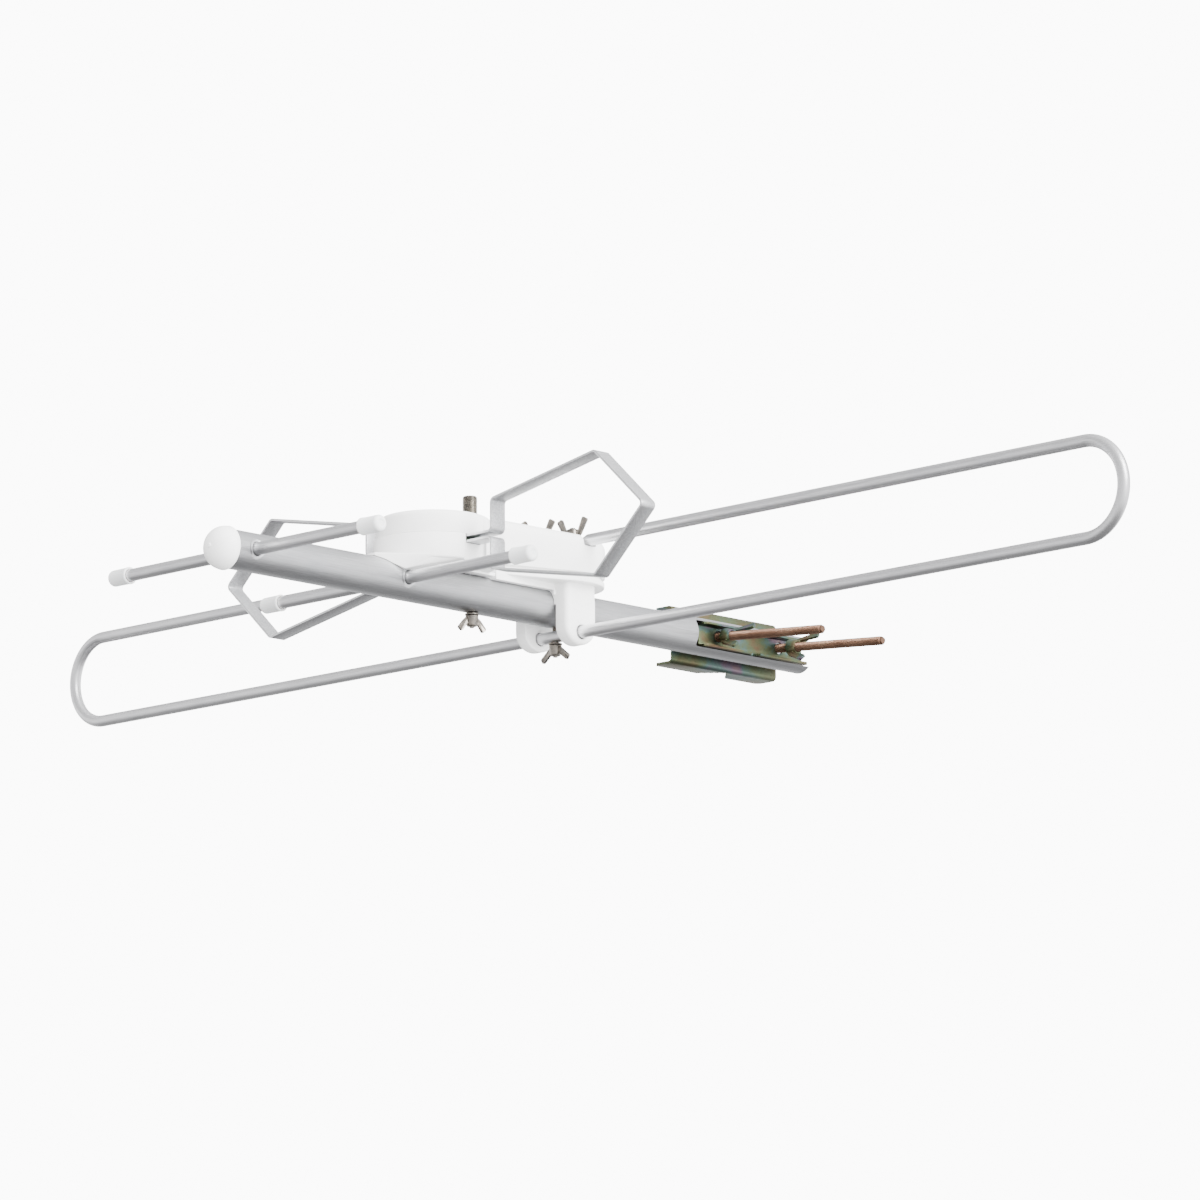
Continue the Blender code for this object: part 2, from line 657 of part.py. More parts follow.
def build_rear_cover():
    z0 = REAR_SPLIT + GAP
    r, n, w = REAR_R, NOSE_R, REAR_WALL
    top = REAR_TOP
    rows = [(w + 0.0045, 0.0026), (w, REAR_ROUND + 0.0010)]
    rings = [pear(r - inset, n - inset, top - drop, REAR_RISE) for inset, drop in rows]
    rings += [pear(r - w, n - w, z0), pear(r - 0.0002, n - 0.0002, z0), pear(r, n, z0 + 0.0005)]
    rows = [(0.0, 1.0), (0.134, 0.5), (0.5, 0.134), (1.0, 0.0)]
    for inset, drop in rows:
        inset, drop = inset * REAR_ROUND, drop * REAR_ROUND
        rings.append(pear(r - inset, n - inset, top - drop, REAR_RISE))
    cover = finish("rear_cover", loft(rings, cap=rungs), "white")
    floor = Z_UPPER - ROD_R - 2 * GAP
    for name, sign in (("left", -1), ("right", 1)):
        x0, x1 = sorted((sign * (PADDLE_IN - 0.003), sign * (REAR_R + 0.01)))
        wall = GROOVE_HALF + 0.0020
        for part, reach, drop in (("inner", 0.0045, 0.0015), ("outer", 0.0015, 0.0058)):
            ends = sorted((sign * (PADDLE_IN - 0.005), sign * (REAR_R - reach)))
            thick = block(*ends, Y_DIPOLE - wall, Y_DIPOLE + wall, floor - 0.0024, top - drop)
            join(cover, tool("add_trough_%s_%s" % (part, name), thick))
        groove = block(x0, x1, Y_DIPOLE - GROOVE_HALF, Y_DIPOLE + GROOVE_HALF, floor, top + 0.002)
        cut(cover, tool("cut_groove_" + name, groove))
        bolt = rod("Z", (sign * FEED_X, Y_DIPOLE, 0), floor - 0.006, floor + 0.004, M5_R + FIT, 16)
        cut(cover, tool("cut_feed_" + name, bolt))
    return cover


# ================================================================ folded dipole
def dipole_path(sign):
    """Centre line of one half, from its feed end round the bend to the middle joint."""
    mid = (Z_UPPER + Z_LOWER) / 2
    radius = (Z_UPPER - Z_LOWER) / 2
    bend_x = DIPOLE_HALF - ROD_R - radius
    points = [(PADDLE_IN, Z_UPPER, "paddle"), (PADDLE_OUT, Z_UPPER, "paddle")]
    points += [(PADDLE_OUT + 0.006, Z_UPPER, "rod"), (bend_x - 0.0001, Z_UPPER, "rod")]
    steps = 14
    for i in range(1, steps):
        a = pi / 2 - pi * i / steps
        points.append((bend_x + radius * cos(a), mid + radius * sin(a), "rod"))
    points.append((bend_x, Z_LOWER, "rod"))
    return points


def section(x, z, direction, sign, radius, count, kind):
    """One cross-section ring of the bent rod, across `direction` in the XZ plane."""
    side = Vector((0, 1, 0))
    up = side.cross(direction).normalized()
    ring = []
    for i in range(count):
        a = 2 * pi * (i + 0.5) / count
        across, rise = radius * cos(a), radius * sin(a)
        if kind == "paddle":
            squeeze = 1.0 if abs(sin(a)) < 1e-6 else min(1.0, (PADDLE_T / 2) / abs(rise))
            across *= (PADDLE_W / 2) / radius
            rise *= squeeze
        ring.append(Vector((sign * x, Y_DIPOLE, z)) + side * across + up * rise)
    return ring


def build_dipole_half(side, sign, spigot):
    path = dipole_path(sign)
    count = 16
    rows = []
    for i, (x, z, kind) in enumerate(path):
        before = path[i - 1] if i else path[i]
        after = path[i + 1] if i + 1 < len(path) else (x - 0.01, z, kind)
        direction = Vector((sign * (after[0] - before[0]), 0, after[1] - before[1])).normalized()
        if i in (0, 1, 2, 3):
            direction = Vector((sign, 0, 0))
        if i == len(path) - 1:
            direction = Vector((-sign, 0, 0))
        low = PADDLE_T / 2 - ROD_R if kind == "paddle" else 0.0
        rows.append((x, z + low, direction, kind))
    rings = [section(x, z, d, sign, ROD_R, count, kind) for x, z, d, kind in rows]
    back = Vector((-sign, 0, 0))
    if spigot:
        shoulder = OVERLAP + GAP
        rings.append(section(shoulder, Z_LOWER, back, sign, ROD_R, count, "rod"))
        rings.append(section(shoulder, Z_LOWER, back, sign, SPIGOT_R, count, "rod"))
        rings.append(section(-OVERLAP + 0.001, Z_LOWER, back, sign, SPIGOT_R, count, "rod"))
        rings.append(section(-OVERLAP, Z_LOWER, back, sign, SPIGOT_R - 0.0006, count, "rod"))
        bm = loft(rings)
    else:
        rings.append(section(-OVERLAP, Z_LOWER, back, sign, ROD_R, count, "rod"))
        rings.append(section(-OVERLAP, Z_LOWER, back, sign, BORE_R, count, "rod"))
        rings.append(section(OVERLAP + 0.002, Z_LOWER, back, sign, BORE_R, count, "rod"))
        bm = loft(rings)
    half = finish("dipole_%s" % side, bm, "aluminium")
    feed = rod("Z", (sign * FEED_X, Y_DIPOLE, 0), Z_UPPER - 0.01, Z_UPPER + 0.01, M5_R + FIT, 16)
    cut(half, tool("cut_paddle_" + side, feed))
    middle = rod("Z", (0, Y_DIPOLE, 0), Z_LOWER - 0.01, Z_LOWER + 0.01, M4_R - 0.0002 + FIT, 16)
    cut(half, tool("cut_middle_" + side, middle))
    return half


# ================================================================ hardware
def build_washer(name, axis, centre, start, inner, outer, look="nickel", thick=WASHER_T):
    bm = tube(axis, centre, start, start + thick, outer, inner, 24)
    return finish(name, bm, look)


def wing_outline(hub_r, span, rise, width):
    """One wing seen from the side, as (across, along): a bar that leans out from the hub."""
    root = Vector((hub_r * 0.95, 0.0030))
    tip = Vector((span - width * 0.50, rise - width * 0.45))
    lean = (tip - root).normalized()
    side = Vector((lean.y, -lean.x)) * (width / 2)
    low, high = root + side, root - side
    points = [(hub_r * 0.55, 0.0010), (hub_r * 0.97, 0.0006), low + lean * 0.0018, tip + side - lean * 0.0006]
    points += [tip + side * 0.6 + lean * 0.0006, tip - side * 0.6 + lean * 0.0006, tip - side - lean * 0.0006]
    points += [(hub_r * 1.0, WING_HUB_H * 0.80), (hub_r * 0.55, WING_HUB_H * 0.86)]
    return [(p[0], p[1]) for p in points]


def wing_nut(name, origin, axis_dir, across, bore, look, hub_r=0.0046, span=0.0125, rise=0.0155,
             width=0.0044):
    """A two-winged nut: `axis_dir` points away from the seat and `across` along the wings."""
    w = Vector(axis_dir).normalized()
    u = Vector(across).normalized()
    v = w.cross(u)
    count = 24
    place = Vector(origin)
    rows = [(0.0, bore), (0.0, hub_r), (0.0012, hub_r), (WING_HUB_H - 0.0006, hub_r * 0.82)]
    rows += [(WING_HUB_H, hub_r * 0.74), (WING_HUB_H, bore)]
    rings = []
    for along, radius in rows:
        ring = []
        for i in range(count):
            a = 2 * pi * (i + 0.5) / count
            ring.append(place + w * along + radius * (cos(a) * u + sin(a) * v))
        rings.append(ring)
    nut = finish(name, loft(rings, True), look, origin)
    thick = 0.0023
    for index, sign in enumerate((-1, 1)):
        outline = wing_outline(hub_r, span, rise, width)
        rings = []
        for side in (-0.5, 0.5):
            shell = []
            for a, b in outline:
                width = thick * (1.0 - 0.35 * min(1.0, max(0.0, (a - hub_r) / (span - hub_r))))
                shell.append(place + u * (sign * a) + w * b + v * (side * width))
            rings.append(shell)
        bm = loft(rings)
        join(nut, tool("%s_wing_%d" % (name, index), bm))
    return nut


def machine_bolt(name, origin, direction, length, radius, head_r, head_h, look, hexagon=False):
    """A bolt from under its head: `direction` runs from the head to the tip."""
    w = Vector(direction).normalized()
    u = Vector((0, 1, 0)) if abs(w.y) < 0.9 else Vector((1, 0, 0))
    v = w.cross(u).normalized()
    u = v.cross(w).normalized()
    count = 18
    rows = [(-head_h, head_r * 0.90), (-head_h * 0.80, head_r), (0.0, head_r), (0.0, radius)]
    rows += [(length - 0.0007, radius), (length, radius - 0.0007)]
    rings = []
    for index, (along, size) in enumerate(rows):
        ring = []
        for i in range(count):
            a = 2 * pi * (i + 0.5) / count
            reach = size
            if hexagon and index in (1, 2):
                lean = (a % (pi / 3)) - pi / 6
                reach = size / cos(lean)
            ring.append(Vector(origin) + w * along + reach * (cos(a) * u + sin(a) * v))
        rings.append(ring)
    return finish(name, loft(rings), look, origin)


def build_feed_hardware(side, sign):
    floor = Z_UPPER - ROD_R - 2 * GAP
    under = floor - 0.0024 - GAP
    top = Z_UPPER - ROD_R + PADDLE_T + GAP
    at = (sign * FEED_X, Y_DIPOLE, under)
    stand = LEFT_NUT_STAND if sign < 0 else 0.0
    length = top + WASHER_T + GAP + stand + WING_HUB_H + 0.0010 - under
    machine_bolt("feed_bolt_%s" % side, at, (0, 0, 1), length, M5_R, 0.0046, 0.0026, "nickel")
    build_washer("feed_washer_%s" % side, "Z", (at[0], at[1], 0), top, M5_R + FIT, 0.0050)
    seat = (at[0], at[1], top + WASHER_T + GAP + stand)
    turn = radians(7 if sign > 0 else 21)
    across = (cos(turn), sin(turn), 0)
    wing_nut("feed_wing_nut_%s" % side, seat, (0, 0, 1), across, M5_R + FIT, "nickel")


def build_boom_bolt(name, y, head_seat, under):
    """A bolt down through the boom with a washer and a wing nut below it."""
    low = under - GAP - WASHER_T
    tip = low - GAP - WING_HUB_H - 0.0010
    machine_bolt(name + "_bolt", (0, y, head_seat), (0, 0, -1), head_seat - tip, M4_R, 0.0036, 0.0022, "nickel")
    build_washer(name + "_washer", "Z", (0, y, 0), low, M4_R + FIT, 0.0046)
    return (0, y, low - GAP)


def build_boom_hardware():
    floor = BOX_FLOOR + 0.0036
    seat = build_boom_bolt("front", Y_FRONT_BOLT, floor + GAP, -BOOM_R)
    turn = radians(80)
    across = (cos(turn), sin(turn), 0)
    wing_nut("front_wing_nut", seat, (0, 0, -1), across, M4_R + FIT, "nickel", 0.0042, 0.0112, 0.0110, 0.0040)
    floor = REAR_FLANGE_Z + 0.0040
    seat = build_boom_bolt("rear", Y_DIPOLE, floor + GAP, Z_LOWER - ROD_R)
    turn = radians(-5)
    across = (cos(turn), sin(turn), 0)
    wing_nut("rear_wing_nut", seat, (0, 0, -1), across, M4_R + FIT, "nickel", 0.0042, 0.0145, 0.0110, 0.0040)


# ================================================================ mast clamp
def toothed_edge(y_far, x_lip, y_apex, x_apex, steps):
    """Points of one toothed side of a V notch, from the lip to its apex, as (y, x)."""
    start, end = Vector((y_far, x_lip)), Vector((y_apex, x_apex))
    d = (end - start) / steps
    n = Vector((-d.y, d.x)).normalized()
    inward = n if n.x * (y_apex - y_far) < 0 else -n
    row = []
    for i in range(steps):
        row.append(start + d * i)
        if i:
            row[-1] = row[-1] + inward * TOOTH
        row.append(start + d * (i + 0.55))
    return [(p.x, p.y) for p in row]


def flange_outline(y0, y1, x_web, x_lip, corner, notch):
    """One flange of a clamp channel seen from above as (y, x), with its toothed V notch."""
    out = 1 if x_lip > x_web else -1
    mid = 0.0
    apex = x_lip - out * notch
    left = [(y0, x_web), (y0, x_lip - out * corner), (y0 + corner, x_lip)]
    down = toothed_edge(mid - notch, x_lip, mid, apex, 5)
    up = [(2 * mid - y, x) for y, x in reversed(down)]
    right = [(y1 - corner, x_lip), (y1, x_lip - out * corner), (y1, x_web)]
    return left + down + [(mid, apex)] + up + right


def channel(name, y0, y1, x_web, x_lip, z_mid, half_h, corner, notch, look):
    """A pressed channel: an upright web with a toothed flange at its top and its foot."""
    out = 1 if x_lip > x_web else -1
    points = flange_outline(y0, y1, x_web, x_lip, corner, notch)
    body = prism([(x, y) for y, x in points], "Z", z_mid - half_h, z_mid + half_h)
    obj = finish(name, body, look)
    inner = x_web + out * PLATE_T
    x0, x1 = sorted((inner, x_lip + out * 0.02))
    hollow = block(x0, x1, y0 - 0.01, y1 + 0.01, z_mid - half_h + PLATE_T, z_mid + half_h - PLATE_T)
    cut(obj, tool("cut_hollow_" + name, hollow))
    for index, y in enumerate((-BOLT_PITCH / 2, BOLT_PITCH / 2)):
        span = sorted((x_web - out * 0.002, inner + out * 0.002))
        cut(obj, clamp_hole("cut_%s_%d" % (name, index), y, span[0], span[1], BOLT_HOLE_R))
    return obj


def build_clamp():
    insert_lip = INSERT_LIP_X
    channel("clamp_insert", INSERT_FRONT, INSERT_REAR, INSERT_WEB_X, insert_lip, 0.0,
            INSERT_HALF_H, 0.0030, INSERT_NOTCH, "chromate")
    web = -BOOM_R - GAP
    lip = web - JAW_DEPTH
    channel("clamp_jaw", JAW_FRONT, JAW_REAR, web, lip, BOLT_Z,
            JAW_HALF_H, 0.0040, NOTCH_DEPTH, "chromate")
    direction = Vector((cos(BOLT_TILT), 0, -sin(BOLT_TILT)))
    head_x = web - PLATE_T - 0.0009
    for index, (y, stand) in enumerate(((-BOLT_PITCH / 2, NUT_1_OFFSET), (BOLT_PITCH / 2, NUT_2_OFFSET))):
        at = (head_x, y, clamp_axis(y, head_x))
        length = (BOLT_TIP - head_x) / cos(BOLT_TILT)
        machine_bolt("clamp_bolt_%d" % (index + 1), at, direction, length, M6_R, 0.0050, 0.0040, "copper", True)
        x = INSERT_WEB_X + PLATE_T + stand
        seat = (x, y, clamp_axis(y, x))
        turn = radians(41 if index == 0 else 50)
        up = Vector((sin(BOLT_TILT), 0, cos(BOLT_TILT)))
        across = Vector((0, 1, 0)) * cos(turn) + up * sin(turn)
        wing_nut("clamp_wing_nut_%d" % (index + 1), seat, direction, across, M6_R + FIT,
                 "chromate", 0.0056, 0.0138, 0.0205, 0.0050)


def main():
    clear_scene()
    build_boom()
    build_end_cap()
    build_director(1, Y_DIRECTOR_1)
    build_director(2, Y_DIRECTOR_2)
    for side, sign in (("left", -1), ("right", 1)):
        build_loop(side, sign)
        build_loop_screw(side, sign)
    build_box_base()
    build_box_cover()
    build_board()
    build_board_parts()
    build_jack()
    build_rear_bracket()
    build_rear_cover()
    build_dipole_half("left", -1, False)
    build_dipole_half("right", 1, True)
    for side, sign in (("left", -1), ("right", 1)):
        build_feed_hardware(side, sign)
    build_boom_hardware()
    build_clamp()


main()
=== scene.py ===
"""Television yagi on a round boom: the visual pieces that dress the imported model.

Frame, in metres: origin on the boom's axis between the clamp bolts, +Y to the open rear end,
+X along the elements, +Z up. Every piece keeps its place in its mesh.
"""

from math import cos, pi, radians, sin, sqrt, tan

import bmesh
import bpy
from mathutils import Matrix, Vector


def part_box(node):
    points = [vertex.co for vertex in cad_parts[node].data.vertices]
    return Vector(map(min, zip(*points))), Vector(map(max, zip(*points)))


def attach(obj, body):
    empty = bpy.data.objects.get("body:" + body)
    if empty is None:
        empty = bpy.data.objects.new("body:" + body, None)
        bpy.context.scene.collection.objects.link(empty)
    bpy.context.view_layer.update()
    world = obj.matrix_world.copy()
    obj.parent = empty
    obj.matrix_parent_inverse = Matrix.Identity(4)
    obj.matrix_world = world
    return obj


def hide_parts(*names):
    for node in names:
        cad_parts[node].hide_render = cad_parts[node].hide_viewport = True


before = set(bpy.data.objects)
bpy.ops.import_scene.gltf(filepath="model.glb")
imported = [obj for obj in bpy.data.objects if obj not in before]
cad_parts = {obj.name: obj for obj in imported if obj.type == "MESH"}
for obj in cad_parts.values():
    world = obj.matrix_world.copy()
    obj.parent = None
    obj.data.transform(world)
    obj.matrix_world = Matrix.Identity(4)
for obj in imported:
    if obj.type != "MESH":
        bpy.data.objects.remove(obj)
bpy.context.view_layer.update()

X, Y, Z = Vector((1, 0, 0)), Vector((0, 1, 0)), Vector((0, 0, 1))

# ---------------------------------------------------------------- stock sizes
GAP = 0.0003               # between pieces that touch
TUBE_WALL = 0.0013
ROD_R = 0.0040
STRIP_T = 0.0015
STRIP_W = 0.0124
PLATE_T = 0.0016

# radii of the holes that the screws and bolts pass through
LOOP_SCREW_HOLE = 0.0018
NECK_HOLE = 0.0021         # through the telescoped ends of the dipole
M4_HOLE = 0.0023
M5_HOLE = 0.0028
M6_NUT_BORE = 0.0033
CLAMP_HOLE = 0.0040
SOCKET_HOLE = 0.00505

# the housings
BOX_R = 0.0402
BOX_FLOOR = 0.0120
RECESS_X, RECESS_HALF = 0.0357, 0.0095     # the square recess in each side of the box
RECESS_EDGE = 0.0014
ROOM_X, ROOM_HALF = 0.0335, 0.0117         # the flats inside it
TROUGH_FLOOR = 0.0024      # plastic under the dipole's flattened ends
NOSE_R = 0.0148
REAR_R = 0.0325
ROOF_SLOPE = 0.093

# the two hanging arms
ARM_IN, ARM_OUT, ARM_HALF = 0.0137, 0.0245, 0.0137


def middle(node):
    low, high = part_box(node)
    return (low + high) / 2


boom_low, boom_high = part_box("boom_tube")
BOOM_R = boom_high.z
BOOM_FRONT, BOOM_REAR = boom_low.y, boom_high.y
DIRECTOR_Y = [middle("director_1_rod").y, middle("director_2_rod").y]
LOOP_Y = middle("strip_loop_left").y
LOOP_Z = middle("strip_loop_left").z
DIPOLE_Y = middle("dipole_left").y
FRONT_BOLT_Y = middle("front_bolt").y
BOLT_PITCH = 0.0590
BOLT_TILT = radians(4.3)
BOLT_Z = middle("clamp_jaw").z


# ================================================================ modelling by hand
def clear():
    """Leaves edit mode with nothing selected."""
    if bpy.context.mode != "OBJECT":
        bpy.ops.object.mode_set(mode="OBJECT")
    bpy.ops.object.select_all(action="DESELECT")


def take(obj):
    clear()
    obj.select_set(True)
    bpy.context.view_layer.objects.active = obj
    return obj


def settle(obj):
    """Moves the object's place into its mesh."""
    take(obj)
    bpy.ops.object.transform_apply(location=True, rotation=True, scale=True)
    return obj


def edit(obj, kind="VERT", all_of_it=False):
    take(obj)
    bpy.ops.object.mode_set(mode="EDIT")
    bpy.ops.mesh.select_mode(type=kind)
    bpy.ops.mesh.select_all(action="SELECT" if all_of_it else "DESELECT")


def pick(obj, kind, test):
    """In edit mode, selects just the vertices, edges or faces that pass the test."""
    bpy.ops.mesh.select_mode(type=kind)
    bpy.ops.mesh.select_all(action="DESELECT")
    bm = bmesh.from_edit_mesh(obj.data)
    for item in {"VERT": bm.verts, "EDGE": bm.edges, "FACE": bm.faces}[kind]:
        if test(item):
            item.select_set(True)
    bm.select_flush_mode()
    bmesh.update_edit_mesh(obj.data)


def tidy_shell(obj, near=1e-6):
    """Merges doubles and turns every face outwards."""
    edit(obj, all_of_it=True)
    bpy.ops.mesh.remove_doubles(threshold=near)
    bpy.ops.mesh.normals_make_consistent(inside=False)
    clear()
    return obj


def draw_out(step):
    """Extrudes what is selected by the vector."""
    bpy.ops.mesh.extrude_region_move(TRANSFORM_OT_translate={"value": step})


def apply(obj, kind, **settings):
    """Adds a modifier with its settings and applies it."""
    mod = obj.modifiers.new(kind.lower(), kind)
    for key, value in settings.items():
        setattr(mod, key, value)
    take(obj)
    bpy.ops.object.modifier_apply(modifier=mod.name)
    return obj


def line(name, points):
    """A wire through the points, drawn from one vertex by extruding it along."""
    clear()
    bpy.ops.mesh.primitive_plane_add(size=0.0001, location=points[0])
    obj = settle(bpy.context.object)
    obj.name = name
    edit(obj, all_of_it=True)
    bpy.ops.mesh.merge(type="CENTER")
    for here, there in zip(points, points[1:]):
        step = Vector(there) - Vector(here)
        bpy.ops.mesh.extrude_vertices_move(TRANSFORM_OT_translate={"value": step})
    return obj


def across(axis):
    """A direction square to the axis."""
    side = Z if abs(axis.z) < 0.9 else X
    return (side - axis * side.dot(axis)).normalized()


def turned(name, centre, axis, profile, sides, closed=False):
    """A lathe shape: the profile is a row of (along, radius) and is spun about the axis."""
    axis, centre = Vector(axis).normalized(), Vector(centre)
    side = across(axis)
    points = [centre + axis * a + side * r for a, r in profile]
    if closed:
        points.append(points[0])
    obj = line(name, points)
    bpy.ops.mesh.select_all(action="SELECT")
    bpy.ops.mesh.remove_doubles(threshold=1e-7)
    bpy.ops.mesh.spin(steps=sides, angle=2 * pi, center=centre, axis=axis, use_auto_merge=True)
    return tidy_shell(obj, 2e-6)


def bar(name, centre, axis, start, end, radius, sides=48):
    """A round bar along the axis, capped at both ends."""
    axis = Vector(axis).normalized()
    clear()
    place = Vector(centre) + axis * (start + end) / 2
    turn = axis.to_track_quat("Z", "Y").to_euler()
    bpy.ops.mesh.primitive_cylinder_add(
        vertices=sides, radius=radius, depth=abs(end - start), location=place, rotation=turn)
    obj = settle(bpy.context.object)
    obj.name = name
    return obj


def block(name, low, high):
    clear()
    low, high = Vector(low), Vector(high)
    bpy.ops.mesh.primitive_cube_add(size=1, location=(low + high) / 2, scale=high - low)
    obj = settle(bpy.context.object)
    obj.name = name
    return obj


def outline(name, points, push):
    """A flat outline filled and extruded by the vector `push`."""
    obj = line(name, list(points) + [points[0]])
    bpy.ops.mesh.select_all(action="SELECT")
    bpy.ops.mesh.remove_doubles(threshold=1e-7)
    bpy.ops.mesh.edge_face_add()
    draw_out(push)
    return tidy_shell(obj, 1e-7)


def bent_sheet(name, points, push, thickness):
    """A bent plate: the wire through the points drawn out by `push`, half its thickness each side."""
    plate = line(name, points)
    bpy.ops.mesh.select_all(action="SELECT")
    draw_out(push)
    clear()
    apply(plate, "SOLIDIFY", thickness=thickness, offset=0.0, use_even_offset=True)
    return tidy_shell(plate)


def combine(obj, other, operation):
    """Joins or cuts with another shape, which is used up."""
    apply(obj, "BOOLEAN", operation=operation, solver="EXACT", object=other)
    bpy.data.objects.remove(other, do_unlink=True)
    return obj


def cut(obj, other):
    return combine(obj, other, "DIFFERENCE")


def weld(obj, other):
    return combine(obj, other, "UNION")


def drill(obj, centre, axis, start, end, radius, sides=48):
    return cut(obj, bar("hole", centre, axis, start, end, radius, sides))


def ease(obj, width, segments=2, angle=35):
    """Rounds every edge sharper than the angle."""
    return apply(obj, "BEVEL", width=width, segments=segments, limit_method="ANGLE",
                 angle_limit=radians(angle), use_clamp_overlap=True)


def ease_edges(obj, width, segments, test):
    """Rounds just the edges that pass the test."""
    edit(obj, "EDGE")
    pick(obj, "EDGE", test)
    bpy.ops.mesh.bevel(
        offset=width, offset_type="OFFSET", segments=segments, affect="EDGES", clamp_overlap=True)
    clear()
    return obj


def foot_edges(level):
    """A test for the edges that lie wholly at or under a height."""
    return lambda e: max(v.co.z for v in e.verts) < level + 1e-5


def top_edges(level):
    """A test for the edges that lie wholly at or over a height."""
    return lambda e: min(v.co.z for v in e.verts) > level - 1e-5


def runs(e, axis, least=0.01):
    """Whether the edge runs further than `least` along the numbered axis."""
    return abs(e.verts[0].co[axis] - e.verts[1].co[axis]) > least


def face_edge(x):
    """A test for the edges in the upright plane at x, under the arm's root."""
    return lambda e: all(abs(v.co.x - x) < 1e-5 for v in e.verts) and min(v.co.z for v in e.verts) < 0.0039


def gather(first, *others):
    """Joins whole pieces into one object."""
    clear()
    for item in others:
        item.select_set(True)
    first.select_set(True)
    bpy.context.view_layer.objects.active = first
    bpy.ops.object.join()
    return first


def hand_over(obj, finish, body, nodes, smooth=32):
    """Last step for a piece: smooth faces, finish, and the body and CAD nodes it goes with."""
    take(obj)
    bpy.ops.object.shade_smooth_by_angle(angle=radians(smooth))
    obj.data.materials.clear()
    obj.data.materials.append(finish)
    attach(obj, body)
    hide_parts(*nodes)
    clear()
    return obj


def rounded(points, radius, steps=5):
    """Rounds the inner corners of an open row of 2-D points."""
    out = [Vector(points[0])]
    for before, here, after in zip(points, points[1:], points[2:]):
        here = Vector(here)
        a, b = (Vector(before) - here).normalized(), (Vector(after) - here).normalized()
        half = a.angle(b) / 2
        centre = here + (a + b).normalized() * (radius / sin(half))
        start = here + a * (radius / tan(half)) - centre
        end = here + b * (radius / tan(half)) - centre
        total = start.angle(end)
        for i in range(steps + 1):
            t = i / steps
            out.append(centre + (start * sin((1 - t) * total) + end * sin(t * total)) / sin(total))
    out.append(Vector(points[-1]))
    return out


# ================================================================ shader wiring
class Wire:
    """A shader value that ordinary arithmetic can be written on."""

    def __init__(self, shade, socket):
        self.shade, self.socket = shade, socket

    def out(self, name):
        return Wire(self.shade, self.socket.node.outputs[name])

    def math(self, operation, *others, first=None):
        row = [self, *others] if first is None else [first, self]
        return self.shade.node("ShaderNodeMath", {"operation": operation}, dict(enumerate(row)))

    def __add__(self, other):
        return self.math("ADD", other)

    __radd__ = __add__

    def __mul__(self, other):
        return self.math("MULTIPLY", other)

    __rmul__ = __mul__

    def __sub__(self, other):
        return self.math("SUBTRACT", other)

    def __rsub__(self, other):
        return self.math("SUBTRACT", first=other)

    def __truediv__(self, other):
        return self.math("DIVIDE", other)

    def __rtruediv__(self, other):
        return self.math("DIVIDE", first=other)

    def __pow__(self, other):
        return self.math("POWER", other)

    def __neg__(self):
        return self * -1.0

    def __abs__(self):
        return self.math("ABSOLUTE")

    def ramp(self, low, high, to_low=0.0, to_high=1.0):
        """Eases from one level to the other between two values."""
        values = {"Value": self, "From Min": low, "From Max": high, "To Min": to_low, "To Max": to_high}
        return self.shade.node("ShaderNodeMapRange", {"interpolation_type": "SMOOTHSTEP"}, values)


class Nodes:
    """Makes the nodes of one tree."""

    def __init__(self, tree):
        self.tree = tree

    def node(self, kind, settings=None, values=None):
        """One node: its settings are set first, then each socket's value or link."""
        made = self.tree.nodes.new(kind)
        for key, value in (settings or {}).items():
            if key == "stops":
                band = made.color_ramp
                while len(band.elements) < len(value):
                    band.elements.new(0.5)
                for element, (at, colour) in zip(band.elements, value):
                    element.position, element.color = at, (*colour, 1.0)
            else:
                setattr(made, key, value)
        for key, value in (values or {}).items():
            socket = made.inputs[key]
            if isinstance(value, Wire):
                self.tree.links.new(value.socket, socket)
            else:
                socket.default_value = value
        return Wire(self, next(s for s in made.outputs if s.enabled))


